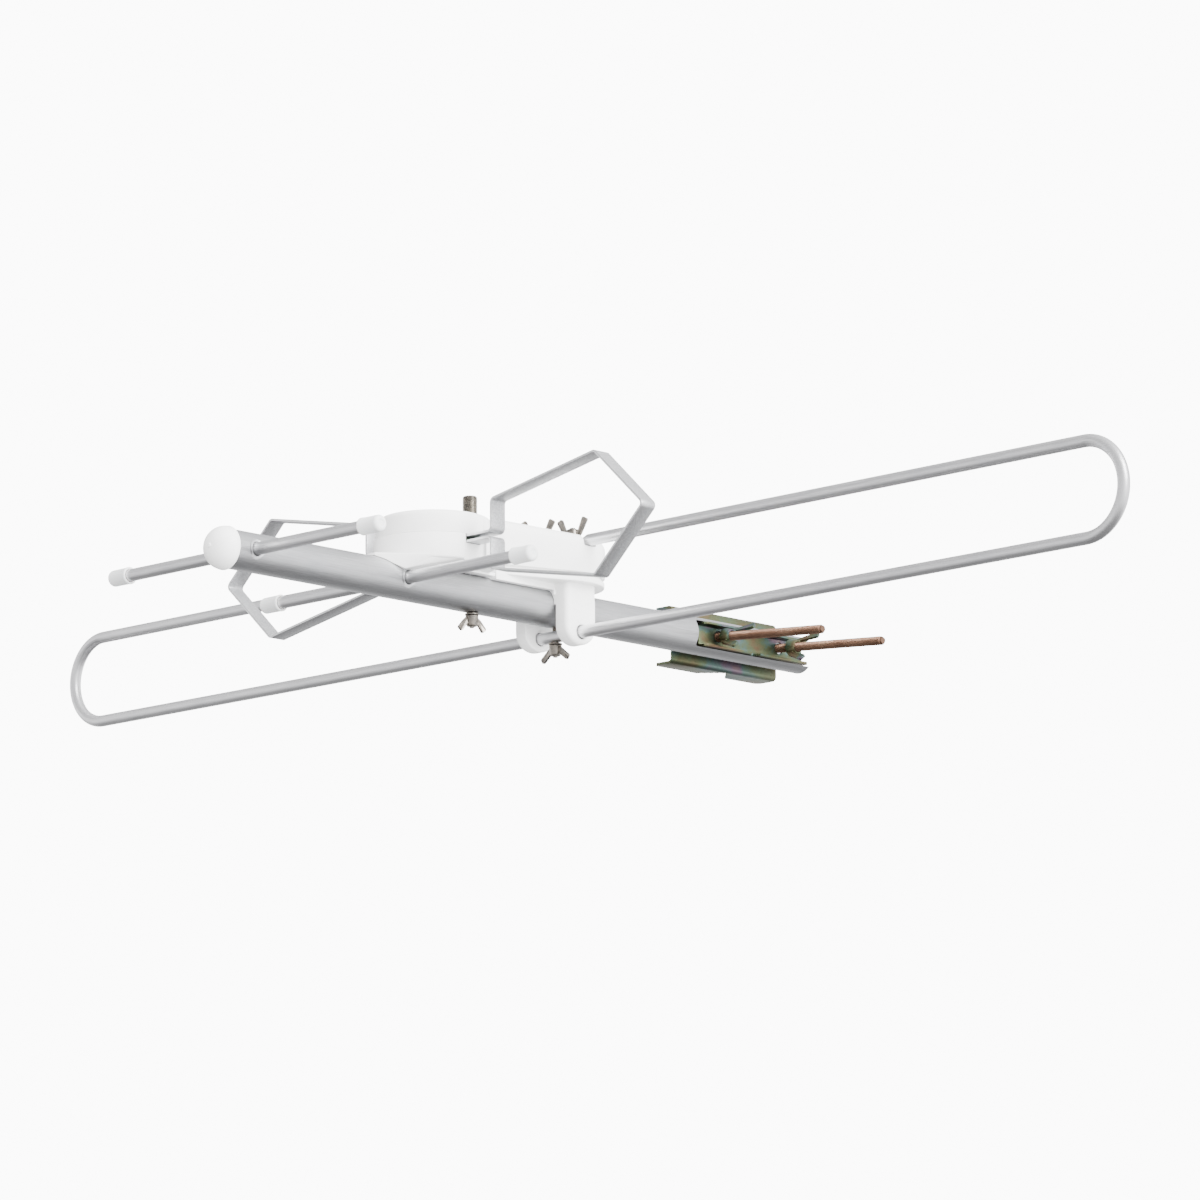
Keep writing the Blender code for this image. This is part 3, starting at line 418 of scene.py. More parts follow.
class Shade(Nodes):
    """One finish: a Principled surface and the nodes that feed it."""

    def __init__(self, name, roughness, metallic, **steady):
        self.material = bpy.data.materials.new(name)
        self.material.use_nodes = True
        super().__init__(self.material.node_tree)
        self.surface = self.tree.nodes["Principled BSDF"]
        self.set("Roughness", roughness)
        self.set("Metallic", metallic)
        for key, value in steady.items():
            self.set(key.replace("_", " "), value)
        self.place = self.node("ShaderNodeTexCoord").out("Object")
        self.normal = self.node("ShaderNodeTexCoord").out("Normal")
        self.heights = []

    def set(self, socket, value):
        if isinstance(value, Wire):
            self.tree.links.new(value.socket, self.surface.inputs[socket])
        else:
            self.surface.inputs[socket].default_value = value

    def stretched(self, scale, shift=(0.0, 0.0, 0.0)):
        return self.node("ShaderNodeMapping", None, {"Vector": self.place, "Scale": scale, "Location": shift})

    def noise(self, size, detail=3.0, roughness=0.5, along=None, shift=(0.0, 0.0, 0.0)):
        """Noise whose features are about `size` metres; `along` draws them out on each axis."""
        stretch = along or (1.0, 1.0, 1.0)
        place = self.stretched(tuple(1.0 / (size * s) for s in stretch), shift)
        return self.node("ShaderNodeTexNoise", None,
                         {"Vector": place, "Scale": 1.0, "Detail": detail, "Roughness": roughness})

    def cells(self, size):
        place = self.stretched((1.0 / size,) * 3)
        return self.node("ShaderNodeTexVoronoi", None, {"Vector": place, "Scale": 1.0})

    def part(self, vector, axis):
        return self.node("ShaderNodeSeparateXYZ", None, {"Vector": vector}).out(axis)

    def mix(self, amount, first, second):
        """Blends two colours."""
        def colour(value):
            return value if isinstance(value, Wire) else (*value, 1.0)
        values = {0: amount, 6: colour(first), 7: colour(second)}
        return self.node("ShaderNodeMix", {"data_type": "RGBA", "clamp_factor": True}, values)

    def stain(self, colour, amount, tint):
        """Lays a colour over another by multiplying it."""
        values = {0: amount, 6: colour, 7: (*tint, 1.0)}
        return self.node("ShaderNodeMix", {"data_type": "RGBA", "blend_type": "MULTIPLY"}, values)

    def relief(self, height, depth, distance=0.001):
        """Adds to the bump that feeds the surface's normal."""
        self.heights.append((height, depth, distance))

    def done(self, colour):
        self.set("Base Color", colour)
        last = None
        for height, depth, distance in self.heights:
            values = {"Height": height, "Strength": depth, "Distance": distance}
            if last is not None:
                values["Normal"] = last
            last = self.node("ShaderNodeBump", None, values)
        if last is not None:
            self.set("Normal", last)
        return self.material


# ================================================================ finishes
def drawn_aluminium(name, axis, tone, holes=()):
    """Drawn tube: fine lines along its length, a soft grey bloom and the odd scuff; round each hole a bright
    ring, partly bare burr and partly painted highlight.
    """
    shade = Shade(name, 0.32, 1.0)
    run = {"X": (60.0, 1.0, 1.0), "Y": (1.0, 60.0, 1.0)}[axis]
    lines = shade.noise(0.00035, 2.0, 0.6, run)
    bands = shade.noise(0.0026, 2.0, 0.5, run)
    bloom = shade.noise(0.030, 4.0, 0.6)
    speck = shade.noise(0.0012, 2.0, 0.5)
    scuff = shade.noise(0.0016, 4.0, 0.7, {"X": (3.0, 1.0, 1.0), "Y": (1.0, 3.0, 1.0)}[axis])
    scuffed = scuff.ramp(0.62, 0.74)
    light, dark = tuple(c * 1.10 for c in tone), tuple(c * 0.84 for c in tone)
    colour = shade.mix(lines.ramp(0.30, 0.70), dark, light)
    colour = shade.mix(bands.ramp(0.35, 0.65) * 0.45, colour, tone)
    colour = shade.stain(colour, bloom.ramp(0.40, 0.75) * 0.5, (0.86, 0.87, 0.90))
    colour = shade.mix(scuffed * 0.35, colour, (0.78, 0.79, 0.80))
    colour = shade.stain(colour, speck.ramp(0.66, 0.78) * 0.5, (0.70, 0.70, 0.71))
    rough = 0.30 + lines * 0.12 + bloom * 0.08 + scuffed * 0.12
    if holes:
        # Bright ring round each hole: partly the bare metal of the burr, partly a painted highlight where the
        # dimpled rim catches light.
        along = shade.part(shade.place, axis)
        height = shade.part(shade.place, "Z")
        rim_burr_and_highlight = None
        for at in holes:
            offset = along - at
            away = (offset * offset + height * height) ** 0.5
            ring = away.ramp(0.0041, 0.0047) * (1.0 - away.ramp(0.0050, 0.0066))
            rim_burr_and_highlight = ring if rim_burr_and_highlight is None else rim_burr_and_highlight + ring
        colour = shade.mix(rim_burr_and_highlight * 0.6, colour, (0.86, 0.87, 0.88))
        shade.relief(1.0 - rim_burr_and_highlight, 0.7, 0.0006)
    shade.set("Roughness", rough)
    shade.relief(lines, 0.10, 0.0003)
    shade.relief(scuff, 0.05, 0.0003)
    return shade.done(colour)


def rolled_strip():
    """Flat rolled bar: matt speckled broad faces and bright sheared edges."""
    shade = Shade("rolled_strip", 0.45, 1.0)
    speckle = shade.noise(0.0009, 3.0, 0.75)
    grain = shade.noise(0.0006, 2.0, 0.6, (8.0, 1.0, 8.0))
    cloud = shade.noise(0.012, 3.0, 0.6)
    edge = abs(shade.part(shade.normal, "Y")).ramp(0.55, 0.85)
    colour = shade.mix(speckle.ramp(0.35, 0.68), (0.55, 0.555, 0.565), (0.80, 0.805, 0.815))
    colour = shade.stain(colour, cloud.ramp(0.4, 0.7) * 0.4, (0.85, 0.86, 0.88))
    colour = shade.mix(edge * 0.8, colour, (0.86, 0.865, 0.87))
    shade.set("Roughness", 0.40 + speckle * 0.16 - edge * 0.12)
    shade.relief(speckle, 0.16, 0.0004)
    shade.relief(grain, 0.10, 0.0003)
    return shade.done(colour)


def moulded(name, tone, rough, depth, **steady):
    """Moulded plastic with a fine spark-eroded skin, faint flow marks and dust in the low spots."""
    shade = Shade(name, rough, 0.0, **steady)
    skin = shade.noise(0.0006, 3.0, 0.55)
    flow = shade.noise(0.018, 3.0, 0.5, (1.0, 2.2, 0.5))
    rub = shade.noise(0.005, 5.0, 0.7)
    colour = shade.mix(flow.ramp(0.3, 0.7), tuple(c * 0.965 for c in tone), tone)
    colour = shade.stain(colour, rub.ramp(0.60, 0.78) * 0.6, (0.955, 0.955, 0.95))
    shade.set("Roughness", rough + rub.ramp(0.45, 0.8) * 0.14 + skin * 0.06)
    shade.relief(skin, depth, 0.0002)
    shade.relief(flow, 0.03, 0.002)
    return shade.done(colour)


def plated(name, tone, warm, rough, grain):
    """Bright plating over a casting or turned part, duller and darker in the hollows."""
    shade = Shade(name, rough, 1.0)
    cast = shade.noise(grain, 3.0, 0.6)
    patch = shade.noise(0.0035, 4.0, 0.6)
    pits = shade.cells(grain * 1.6)
    colour = shade.mix(patch.ramp(0.35, 0.70), tone, warm)
    colour = shade.stain(colour, cast.ramp(0.55, 0.75) * 0.55, (0.60, 0.57, 0.53))
    shade.set("Roughness", rough + cast * 0.14 + patch.ramp(0.5, 0.8) * 0.12)
    shade.relief(cast, 0.14, 0.0003)
    shade.relief(pits, 0.06, 0.0002)
    return shade.done(colour)


def chromated(name, mottle, olive):
    """Yellow zinc chromate: olive and straw with drifting green, blue and pink films."""
    shade = Shade(name, 0.34, 1.0)
    drift = shade.noise(mottle, 3.0, 0.55, (1.0, 1.7, 1.0))
    fine = shade.noise(0.0011, 4.0, 0.7)
    patch = shade.noise(mottle * 0.55, 3.0, 0.6, None, (3.1, 1.7, 0.4))
    facing = shade.part(shade.normal, "X")
    film = drift * 0.85 + patch * 0.25 - 0.05 + facing * 0.03
    stops = [(0.28, (0.130, 0.078, 0.072)), (0.38, (0.17, 0.12, 0.07)), (0.46, olive),
             (0.53, (0.125, 0.155, 0.088)), (0.60, (0.105, 0.165, 0.150)), (0.67, (0.165, 0.125, 0.165)),
             (0.76, (0.22, 0.145, 0.13))]
    colour = shade.node("ShaderNodeValToRGB", {"stops": stops}, {"Fac": film})
    colour = shade.stain(colour, fine.ramp(0.52, 0.72) * 0.6, (0.62, 0.58, 0.50))
    colour = shade.mix(fine.ramp(0.70, 0.80) * 0.4, colour, (0.70, 0.66, 0.52))
    shade.set("Roughness", 0.28 + fine * 0.18 + patch * 0.10)
    shade.relief(fine, 0.12, 0.0003)
    return shade.done(colour)


def bolt_brown():
    """Bolt zinc gone coppery brown, with the thread crests rubbed bright."""
    shade = Shade("bolt_brown", 0.38, 1.0)
    fine = shade.noise(0.0007, 3.0, 0.7)
    patch = shade.noise(0.006, 4.0, 0.6, (2.5, 1.0, 1.0))
    colour = shade.mix(patch.ramp(0.35, 0.68), (0.19, 0.108, 0.072), (0.27, 0.165, 0.112))
    colour = shade.mix(patch.ramp(0.62, 0.78) * 0.6, colour, (0.21, 0.175, 0.11))
    colour = shade.stain(colour, fine.ramp(0.5, 0.75) * 0.6, (0.58, 0.50, 0.45))
    shade.set("Roughness", 0.32 + fine * 0.22)
    shade.relief(fine, 0.15, 0.0003)
    return shade.done(colour)


def board_green():
    shade = Shade("board_green", 0.42, 0.0)
    weave = shade.noise(0.0009, 2.0, 0.5, (4.0, 1.0, 1.0))
    tracks = shade.cells(0.006)
    colour = shade.mix(weave.ramp(0.3, 0.7), (0.020, 0.060, 0.033), (0.030, 0.085, 0.048))
    colour = shade.mix(tracks.ramp(0.30, 0.34) * 0.35, colour, (0.04, 0.12, 0.066))
    shade.relief(weave, 0.08, 0.0002)
    return shade.done(colour)


def ferrite_black():
    shade = Shade("ferrite_black", 0.55, 0.0)
    grain = shade.noise(0.0004, 3.0, 0.6)
    colour = shade.mix(grain.ramp(0.3, 0.7), (0.035, 0.035, 0.038), (0.075, 0.073, 0.075))
    shade.relief(grain, 0.2, 0.0002)
    return shade.done(colour)


BOOM_FINISH = drawn_aluminium("boom_aluminium", "Y", (0.56, 0.565, 0.575), DIRECTOR_Y)
ROD_FINISH = drawn_aluminium("rod_aluminium", "X", (0.78, 0.78, 0.79))
STRIP_FINISH = rolled_strip()
WHITE = moulded("white_plastic_finish", (0.88, 0.88, 0.875), 0.34, 0.05)
PALE = moulded("pale_cap_finish", (0.735, 0.73, 0.725), 0.42, 0.08, Subsurface_Weight=0.05)
NICKEL = plated("nickel_finish", (0.22, 0.205, 0.185), (0.33, 0.295, 0.25), 0.22, 0.0008)
SOCKET_FINISH = plated("socket_finish", (0.25, 0.235, 0.21), (0.34, 0.31, 0.265), 0.20, 0.0010)
CHROMATE = chromated("insert_chromate", 0.017, (0.150, 0.142, 0.080))
# The jaw's copy of the chromate: the coarser drifts are its own film, the darker olive is painted shade for
# the jaw lying in shade behind the boom.
JAW_SHADED_FINISH = chromated("jaw_chromate_painted_shade", 0.030, (0.125, 0.122, 0.068))
BROWN = bolt_brown()
BOARD = board_green()
FERRITE = ferrite_black()


# ================================================================ boom
def make_boom():
    inner, chamfer = BOOM_R - TUBE_WALL, 0.0002
    profile = [(BOOM_FRONT, inner), (BOOM_FRONT, BOOM_R - chamfer), (BOOM_FRONT + chamfer, BOOM_R)]
    steps = 9
    for i in range(1, steps):
        profile.append((BOOM_FRONT + (BOOM_REAR - BOOM_FRONT) * i / steps, BOOM_R))
    profile += [(BOOM_REAR - chamfer, BOOM_R), (BOOM_REAR, BOOM_R - chamfer), (BOOM_REAR, inner)]
    boom = turned("boom", (0, 0, 0), Y, profile, 128, True)
    for y in DIRECTOR_Y:
        drill(boom, (0, y, 0), X, -0.02, 0.02, ROD_R + GAP)
    for y in (FRONT_BOLT_Y, DIPOLE_Y):
        drill(boom, (0, y, 0), Z, -0.02, 0.02, M4_HOLE, 32)
    for sign in (-1, 1):
        drill(boom, (0, sign * BOLT_PITCH / 2, BOLT_Z), X, -0.016, -0.006, CLAMP_HOLE, 40)
    slot_front, slot_half, slot_corner = -0.0560, 0.00885, 0.0022
    slot = block("slot", (0, slot_front, -slot_half), (0.02, BOOM_REAR + 0.01, slot_half))
    ease_edges(slot, slot_corner, 5, lambda e: runs(e, 0) and e.verts[0].co.y < 0)
    cut(boom, slot)
    hand_over(boom, BOOM_FINISH, "antenna", ["boom_tube"], 40)


def make_end_cap():
    low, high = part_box("boom_end_cap")
    tip, rim = low.y, high.y
    lip = high.z
    outer, inner = lip - 0.0002, BOOM_R + GAP
    dome, nub, nub_r = 0.0123, 0.0006, 0.0014
    profile = [(BOOM_FRONT - GAP, 0.0), (BOOM_FRONT - GAP, inner), (rim, inner), (rim, outer),
               (rim - 0.0002, lip), (rim - 0.0009, lip), (rim - 0.0011, outer)]
    steps = 22
    for i in range(steps):
        a = pi / 2 * i / steps
        profile.append((tip + nub + dome * (1 - sin(a)), outer * cos(a) ** 0.94))
    profile += [(tip + nub, nub_r), (tip + 0.0002, 0.0013), (tip, 0.0010), (tip, 0.0)]
    cap = turned("end_cap", (0, 0, 0), Y, profile, 96)
    hand_over(cap, WHITE, "antenna", ["boom_end_cap"])


# ================================================================ directors
def make_directors():
    low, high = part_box("director_1_rod")
    half = high.x
    inner, chamfer, pinch = ROD_R - 0.0010, 0.0003, 0.00012
    crown = 0.0024
    for index, y in enumerate(DIRECTOR_Y, 1):
        profile = [(-half, inner), (-half, ROD_R - chamfer), (-half + chamfer, ROD_R)]
        for mark in (-1, 1):
            edge = mark * (BOOM_R + 0.0010)
            profile += [(edge - 0.0014, ROD_R), (edge - 0.0006, ROD_R - pinch),
                        (edge + 0.0006, ROD_R - pinch), (edge + 0.0014, ROD_R)]
        profile += [(half - chamfer, ROD_R), (half, ROD_R - chamfer), (half, inner)]
        rod = turned("director_%d" % index, (0, y, 0), X, profile, 64, True)
        hand_over(rod, ROD_FINISH, "antenna", ["director_%d_rod" % index])
        for side, sign in (("left", -1), ("right", 1)):
            node = "director_%d_cap_%s" % (index, side)
            low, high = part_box(node)
            tip = high.x if sign > 0 else low.x
            mouth = low.x if sign > 0 else high.x
            outer = high.z
            grip = ROD_R + GAP
            profile = [(tip - sign * 0.0020, 0.0), (tip - sign * 0.0020, grip), (mouth, grip),
                       (mouth, outer - 0.00015), (mouth + sign * 0.0003, outer),
                       (mouth + sign * 0.0012, outer), (mouth + sign * 0.0016, outer - 0.0002)]
            for i in range(9):
                a = pi / 2 * i / 8
                profile.append((tip - sign * crown * (1 - sin(a)), outer - 0.0003 - crown * (1 - cos(a))))
            profile += [(tip - sign * 0.0001, 0.0022), (tip - sign * 0.0004, 0.0018),
                        (tip - sign * 0.0004, 0.0)]
            cap = turned("tip_cap_%d_%s" % (index, side), (0, y, 0), X, profile, 64)
            hand_over(cap, PALE, "antenna", [node])


# ================================================================ strip loops
def make_loops():
    tab_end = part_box("strip_loop_right")[0].x
    rise = 0.0008 + GAP + STRIP_T / 2
    x_in, x_mid, x_out = 0.0575, 0.1495, 0.1915
    h_in, h_mid = 0.0225, 0.0394
    bend, screw_in, sheared = 0.0030, 0.0036, 0.00022
    for side, sign in (("left", -1), ("right", 1)):
        row = [(tab_end, LOOP_Z + rise), (x_in, LOOP_Z + rise), (x_in, LOOP_Z + h_in),
               (x_mid, LOOP_Z + h_mid), (x_out, LOOP_Z), (x_mid, LOOP_Z - h_mid),
               (x_in, LOOP_Z - h_in), (x_in, LOOP_Z - rise), (tab_end, LOOP_Z - rise)]
        path = [(sign * p.x, LOOP_Y - STRIP_W / 2, p.y) for p in rounded(row, bend, 8)]
        loop = bent_sheet("strip_loop_%s_bar" % side, path, Y * STRIP_W, STRIP_T)
        drill(loop, (sign * (tab_end + screw_in), LOOP_Y, LOOP_Z), Z, -0.006, 0.006, LOOP_SCREW_HOLE, 24)
        ease(loop, sheared, 2, 50)
        hand_over(loop, STRIP_FINISH, "antenna", ["strip_loop_%s" % side])


# ================================================================ front junction box
def cut_recesses(obj, flat, half, z0, z1, edge=0.0):
    """Cuts the two square recesses in the sides, back to `flat`, with eased inner corners."""
    for sign in (-1, 1):
        x0, x1 = sorted((sign * flat, sign * 0.06))
        shape = block("recess", (x0, LOOP_Y - half, z0), (x1, LOOP_Y + half, z1))
        if edge:
            ease_edges(shape, edge, 4, lambda e: runs(e, 2) and abs(e.verts[0].co.x - sign * flat) < 1e-5)
        cut(obj, shape)


def hollow(radius, z0, z1):
    """The room inside the box, with flats where the side recesses come in."""
    room = bar("room", (0, LOOP_Y, 0), Z, z0, z1, radius, 96)
    cut_recesses(room, ROOM_X, ROOM_HALF, z0 - 0.01, z1 + 0.01)
    return room


def recess_corner(e):
    """The upright edges where a side recess meets the round wall."""
    here = e.verts[0].co
    return (runs(e, 2, 0.006) and abs(here.x) > RECESS_X + 0.0005
            and abs(abs(here.y - LOOP_Y) - RECESS_HALF) < 0.0001)


def prow(radius, floor, side):
    """The box's front rim drawn down to two feet beside director 2, with one skin round it all."""
    shape = bar("prow", (0, LOOP_Y, 0), Z, floor + 0.0004, floor + 0.0022, radius - 0.0004, 160)
    edit(shape)
    pick(shape, "VERT", lambda v: v.co.z < floor + 0.0010)
    shrink = (radius - 0.0016) / (radius - 0.0004)
    bpy.ops.transform.resize(value=(shrink, shrink, 1), center_override=(0, LOOP_Y, floor))
    pick(shape, "VERT", lambda v: v.co.y > LOOP_Y - 0.0100)
    bpy.ops.mesh.delete(type="VERT")
    foot = ROD_R + 0.0010
    for x in (0.0009 - side, side - 0.0009):
        bpy.ops.mesh.primitive_cube_add(
            size=1, location=(x, DIRECTOR_Y[1], foot + 0.0010), scale=(0.0018, 0.0100, 0.0020))
    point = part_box("junction_base")[0].y
    bpy.ops.mesh.primitive_cube_add(
        size=1, location=(0, point + 0.0005, floor + 0.0013), scale=(0.0080, 0.0010, 0.0018))
    bpy.ops.mesh.select_all(action="SELECT")
    bpy.ops.mesh.convex_hull()
    clear()
    tidy_shell(shape)
    return ease(shape, 0.0005, 2, 50)


def make_box_base():
    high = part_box("junction_base")[1]
    floor, top, radius = BOX_FLOOR, high.z, high.x
    wall, floor_t = 0.0022, 0.0036
    base = bar("box_base", (0, LOOP_Y, 0), Z, floor, top, radius, 160)
    ease_edges(base, 0.0016, 5, foot_edges(floor))
    ease_edges(base, 0.0004, 2, top_edges(top))
    cut_recesses(base, RECESS_X, RECESS_HALF, 0.0, 0.05, RECESS_EDGE)
    ease_edges(base, 0.0015, 4, recess_corner)
    cut(base, hollow(radius - wall, floor + floor_t, top + 0.01))
    rear, front = LOOP_Y + radius + 0.0016, DIRECTOR_Y[1] + 0.0040
    side = BOOM_R + GAP + 0.0011
    saddle = block("saddle", (-side, front, floor - 0.0010), (side, rear, floor + 0.0010))
    weld(base, saddle)
    weld(base, prow(radius, floor, side + 0.0004))
    cut(base, bar("boom_room", (0, 0, 0), Y, front - 0.04, rear + 0.02, BOOM_R + GAP, 128))
    drill(base, (0, FRONT_BOLT_Y, 0), Z, 0.005, 0.02, M4_HOLE, 32)
    for sign in (-1, 1):
        x0, x1 = sorted((sign * 0.0325, sign * 0.0367))
        half = STRIP_W / 2 + GAP
        cut(base, block("tab_slot", (x0, LOOP_Y - half, 0.02310), (x1, LOOP_Y + half, top + 0.001)))
    tidy_shell(base)
    hand_over(base, WHITE, "antenna", ["junction_base"], 30)


def make_box_cover():
    low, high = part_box("junction_cover")
    foot, top = low.z, high.z
    radius, draft = high.y - LOOP_Y, 0.0014
    wall, roof_t = 0.0037, 0.0022
    cover = bar("box_cover", (0, LOOP_Y, 0), Z, foot, top, radius, 160)
    edit(cover)
    pick(cover, "VERT", lambda v: v.co.z > top - 1e-5)
    k = (radius - draft) / radius
    bpy.ops.transform.resize(value=(k, k, 1), center_override=(0, LOOP_Y, top))
    clear()
    ease_edges(cover, 0.0038, 7, top_edges(top))
    ease_edges(cover, 0.0004, 2, foot_edges(foot))
    cut_recesses(cover, RECESS_X, RECESS_HALF, 0.0, 0.06, RECESS_EDGE)
    ease_edges(cover, 0.0013, 4, recess_corner)
    cut(cover, hollow(radius - wall, foot - 0.01, top - roof_t))
    jack = middle("coax_socket")
    drill(cover, (jack.x, jack.y, 0), Z, top - 0.01, top + 0.01, SOCKET_HOLE, 64)
    tidy_shell(cover)
    hand_over(cover, WHITE, "antenna", ["junction_cover"], 30)


def make_socket():
    low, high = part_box("coax_socket")
    at = middle("coax_socket")
    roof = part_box("junction_cover")[1].z
    tip, foot = high.z, low.z
    crest, bore, pitch, groove = 0.00475, 0.0032, 0.0008, 0.00042
    flange_r, across_flats = 0.0072, 0.0127
    profile = [(tip - 0.0090, 0.0), (tip - 0.0090, 0.0009), (tip - 0.0030, 0.0009), (tip - 0.0028, 0.0011),
               (tip - 0.0028, 0.0027), (tip - 0.0024, bore), (tip - 0.0004, bore), (tip, bore + 0.0003),
               (tip, crest - 0.0008)]
    z = tip - 0.0008
    profile.append((z, crest))
    while z > roof + 0.0042:
        profile += [(z - pitch * 0.15, crest), (z - pitch * 0.5, crest - groove), (z - pitch * 0.85, crest)]
        z -= pitch
    flange = roof - 0.0022 - GAP
    profile += [(roof + 0.0035, crest), (flange, crest), (flange, flange_r), (flange - 0.0020, flange_r),
                (flange - 0.0020, crest), (foot + 0.0020, crest), (foot, 0.0030), (foot, 0.0)]
    barrel = turned("socket_barrel", (at.x, at.y, 0), Z, profile, 72)
    hand_over(barrel, SOCKET_FINISH, "antenna", ["coax_socket"], 25)
    low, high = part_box("socket_nut")
    size = high.z - low.z
    clear()
    bpy.ops.mesh.primitive_cylinder_add(
        vertices=6, radius=across_flats / sqrt(3), depth=size, location=(at.x, at.y, (low.z + high.z) / 2),
        rotation=(0, 0, radians(30)))
    nut = settle(bpy.context.object)
    nut.name = "socket_ring_nut"
    cone = turned("cone", (at.x, at.y, 0), Z, [(low.z - 0.001, 0.0), (low.z - 0.001, 0.0078),
                  (high.z - 0.0009, 0.0078), (high.z + 0.0004, 0.0055), (high.z + 0.0004, 0.0)], 96)
    combine(nut, cone, "INTERSECT")
    drill(nut, (at.x, at.y, 0), Z, low.z - 0.01, high.z + 0.01, SOCKET_HOLE, 64)
    ease(nut, 0.00018, 2, 30)
    hand_over(nut, SOCKET_FINISH, "antenna", ["socket_nut"])


# ================================================================ rear housing
NOSE_Y = LOOP_Y + BOX_R + 0.0015 + NOSE_R


def pear(name, inset, z0, z1):
    """A tapered round body: two upright cylinders with one skin drawn round both."""
    clear()
    bpy.ops.mesh.primitive_cylinder_add(
        vertices=128, radius=REAR_R - inset, depth=z1 - z0, location=(0, DIPOLE_Y, (z0 + z1) / 2))
    obj = settle(bpy.context.object)
    obj.name = name
    edit(obj)
    bpy.ops.mesh.primitive_cylinder_add(
        vertices=96, radius=NOSE_R - inset, depth=z1 - z0, location=(0, NOSE_Y, (z0 + z1) / 2))
    bpy.ops.mesh.select_all(action="SELECT")
    bpy.ops.mesh.convex_hull()
    bpy.ops.mesh.select_all(action="SELECT")
    bpy.ops.mesh.dissolve_limited(angle_limit=radians(0.5))
    return tidy_shell(obj)


def hood(name, inset, z0, top, edge, segments):
    """The pear with its roof sloping up towards the nose and its top edge rounded over."""
    body = pear(name, inset, z0, top + 0.012)
    back, front = DIPOLE_Y + 0.05, NOSE_Y - NOSE_R - 0.01
    rows = [(back, top), (DIPOLE_Y, top), (front, top + ROOF_SLOPE * (DIPOLE_Y - front)), (front, top + 0.03),
            (back, top + 0.03)]
    cut(body, outline("above", [(-0.05, y, z) for y, z in rows], X * 0.1))
    tidy_shell(body)
    return ease_edges(body, edge, segments, lambda e: any(f.normal.z > 0.9 for f in e.link_faces)
                      and any(abs(f.normal.z) < 0.3 for f in e.link_faces))


def make_rear_cover():
    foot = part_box("rear_cover")[0].z
    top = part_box("dipole_right")[1].z - 0.0009
    cover = hood("rear_housing_cover", 0.0, foot, top, 0.0068, 9)
    ease_edges(cover, 0.0005, 2, foot_edges(foot))
    cut(cover, hood("room", 0.0024, foot - 0.01, top - 0.0028, 0.0050, 4))
    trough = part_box("dipole_right")[1].z - 2 * ROD_R - GAP
    feed_x = middle("feed_bolt_right").x
    cheek_in, cheek_half, groove_half = 0.0040, 0.0076, 0.0056
    for sign in (-1, 1):
        for reach, drop in ((0.0045, 0.0016), (0.0016, 0.0060)):
            x0, x1 = sorted((sign * cheek_in, sign * (REAR_R - reach)))
            weld(cover, block("trough", (x0, DIPOLE_Y - cheek_half, trough - TROUGH_FLOOR),
                              (x1, DIPOLE_Y + cheek_half, top - drop)))
        x0, x1 = sorted((sign * groove_half, sign * (REAR_R + 0.01)))
        groove = block("groove", (x0, DIPOLE_Y - groove_half, trough),
                       (x1, DIPOLE_Y + groove_half, top + 0.002))
        ease_edges(groove, 0.0016, 4, lambda e: foot_edges(trough)(e) and runs(e, 0))
        cut(cover, groove)
        drill(cover, (sign * feed_x, DIPOLE_Y, 0), Z, trough - 0.006, trough + 0.004, M5_HOLE, 32)
    tidy_shell(cover)
    hand_over(cover, WHITE, "antenna", ["rear_cover"], 30)


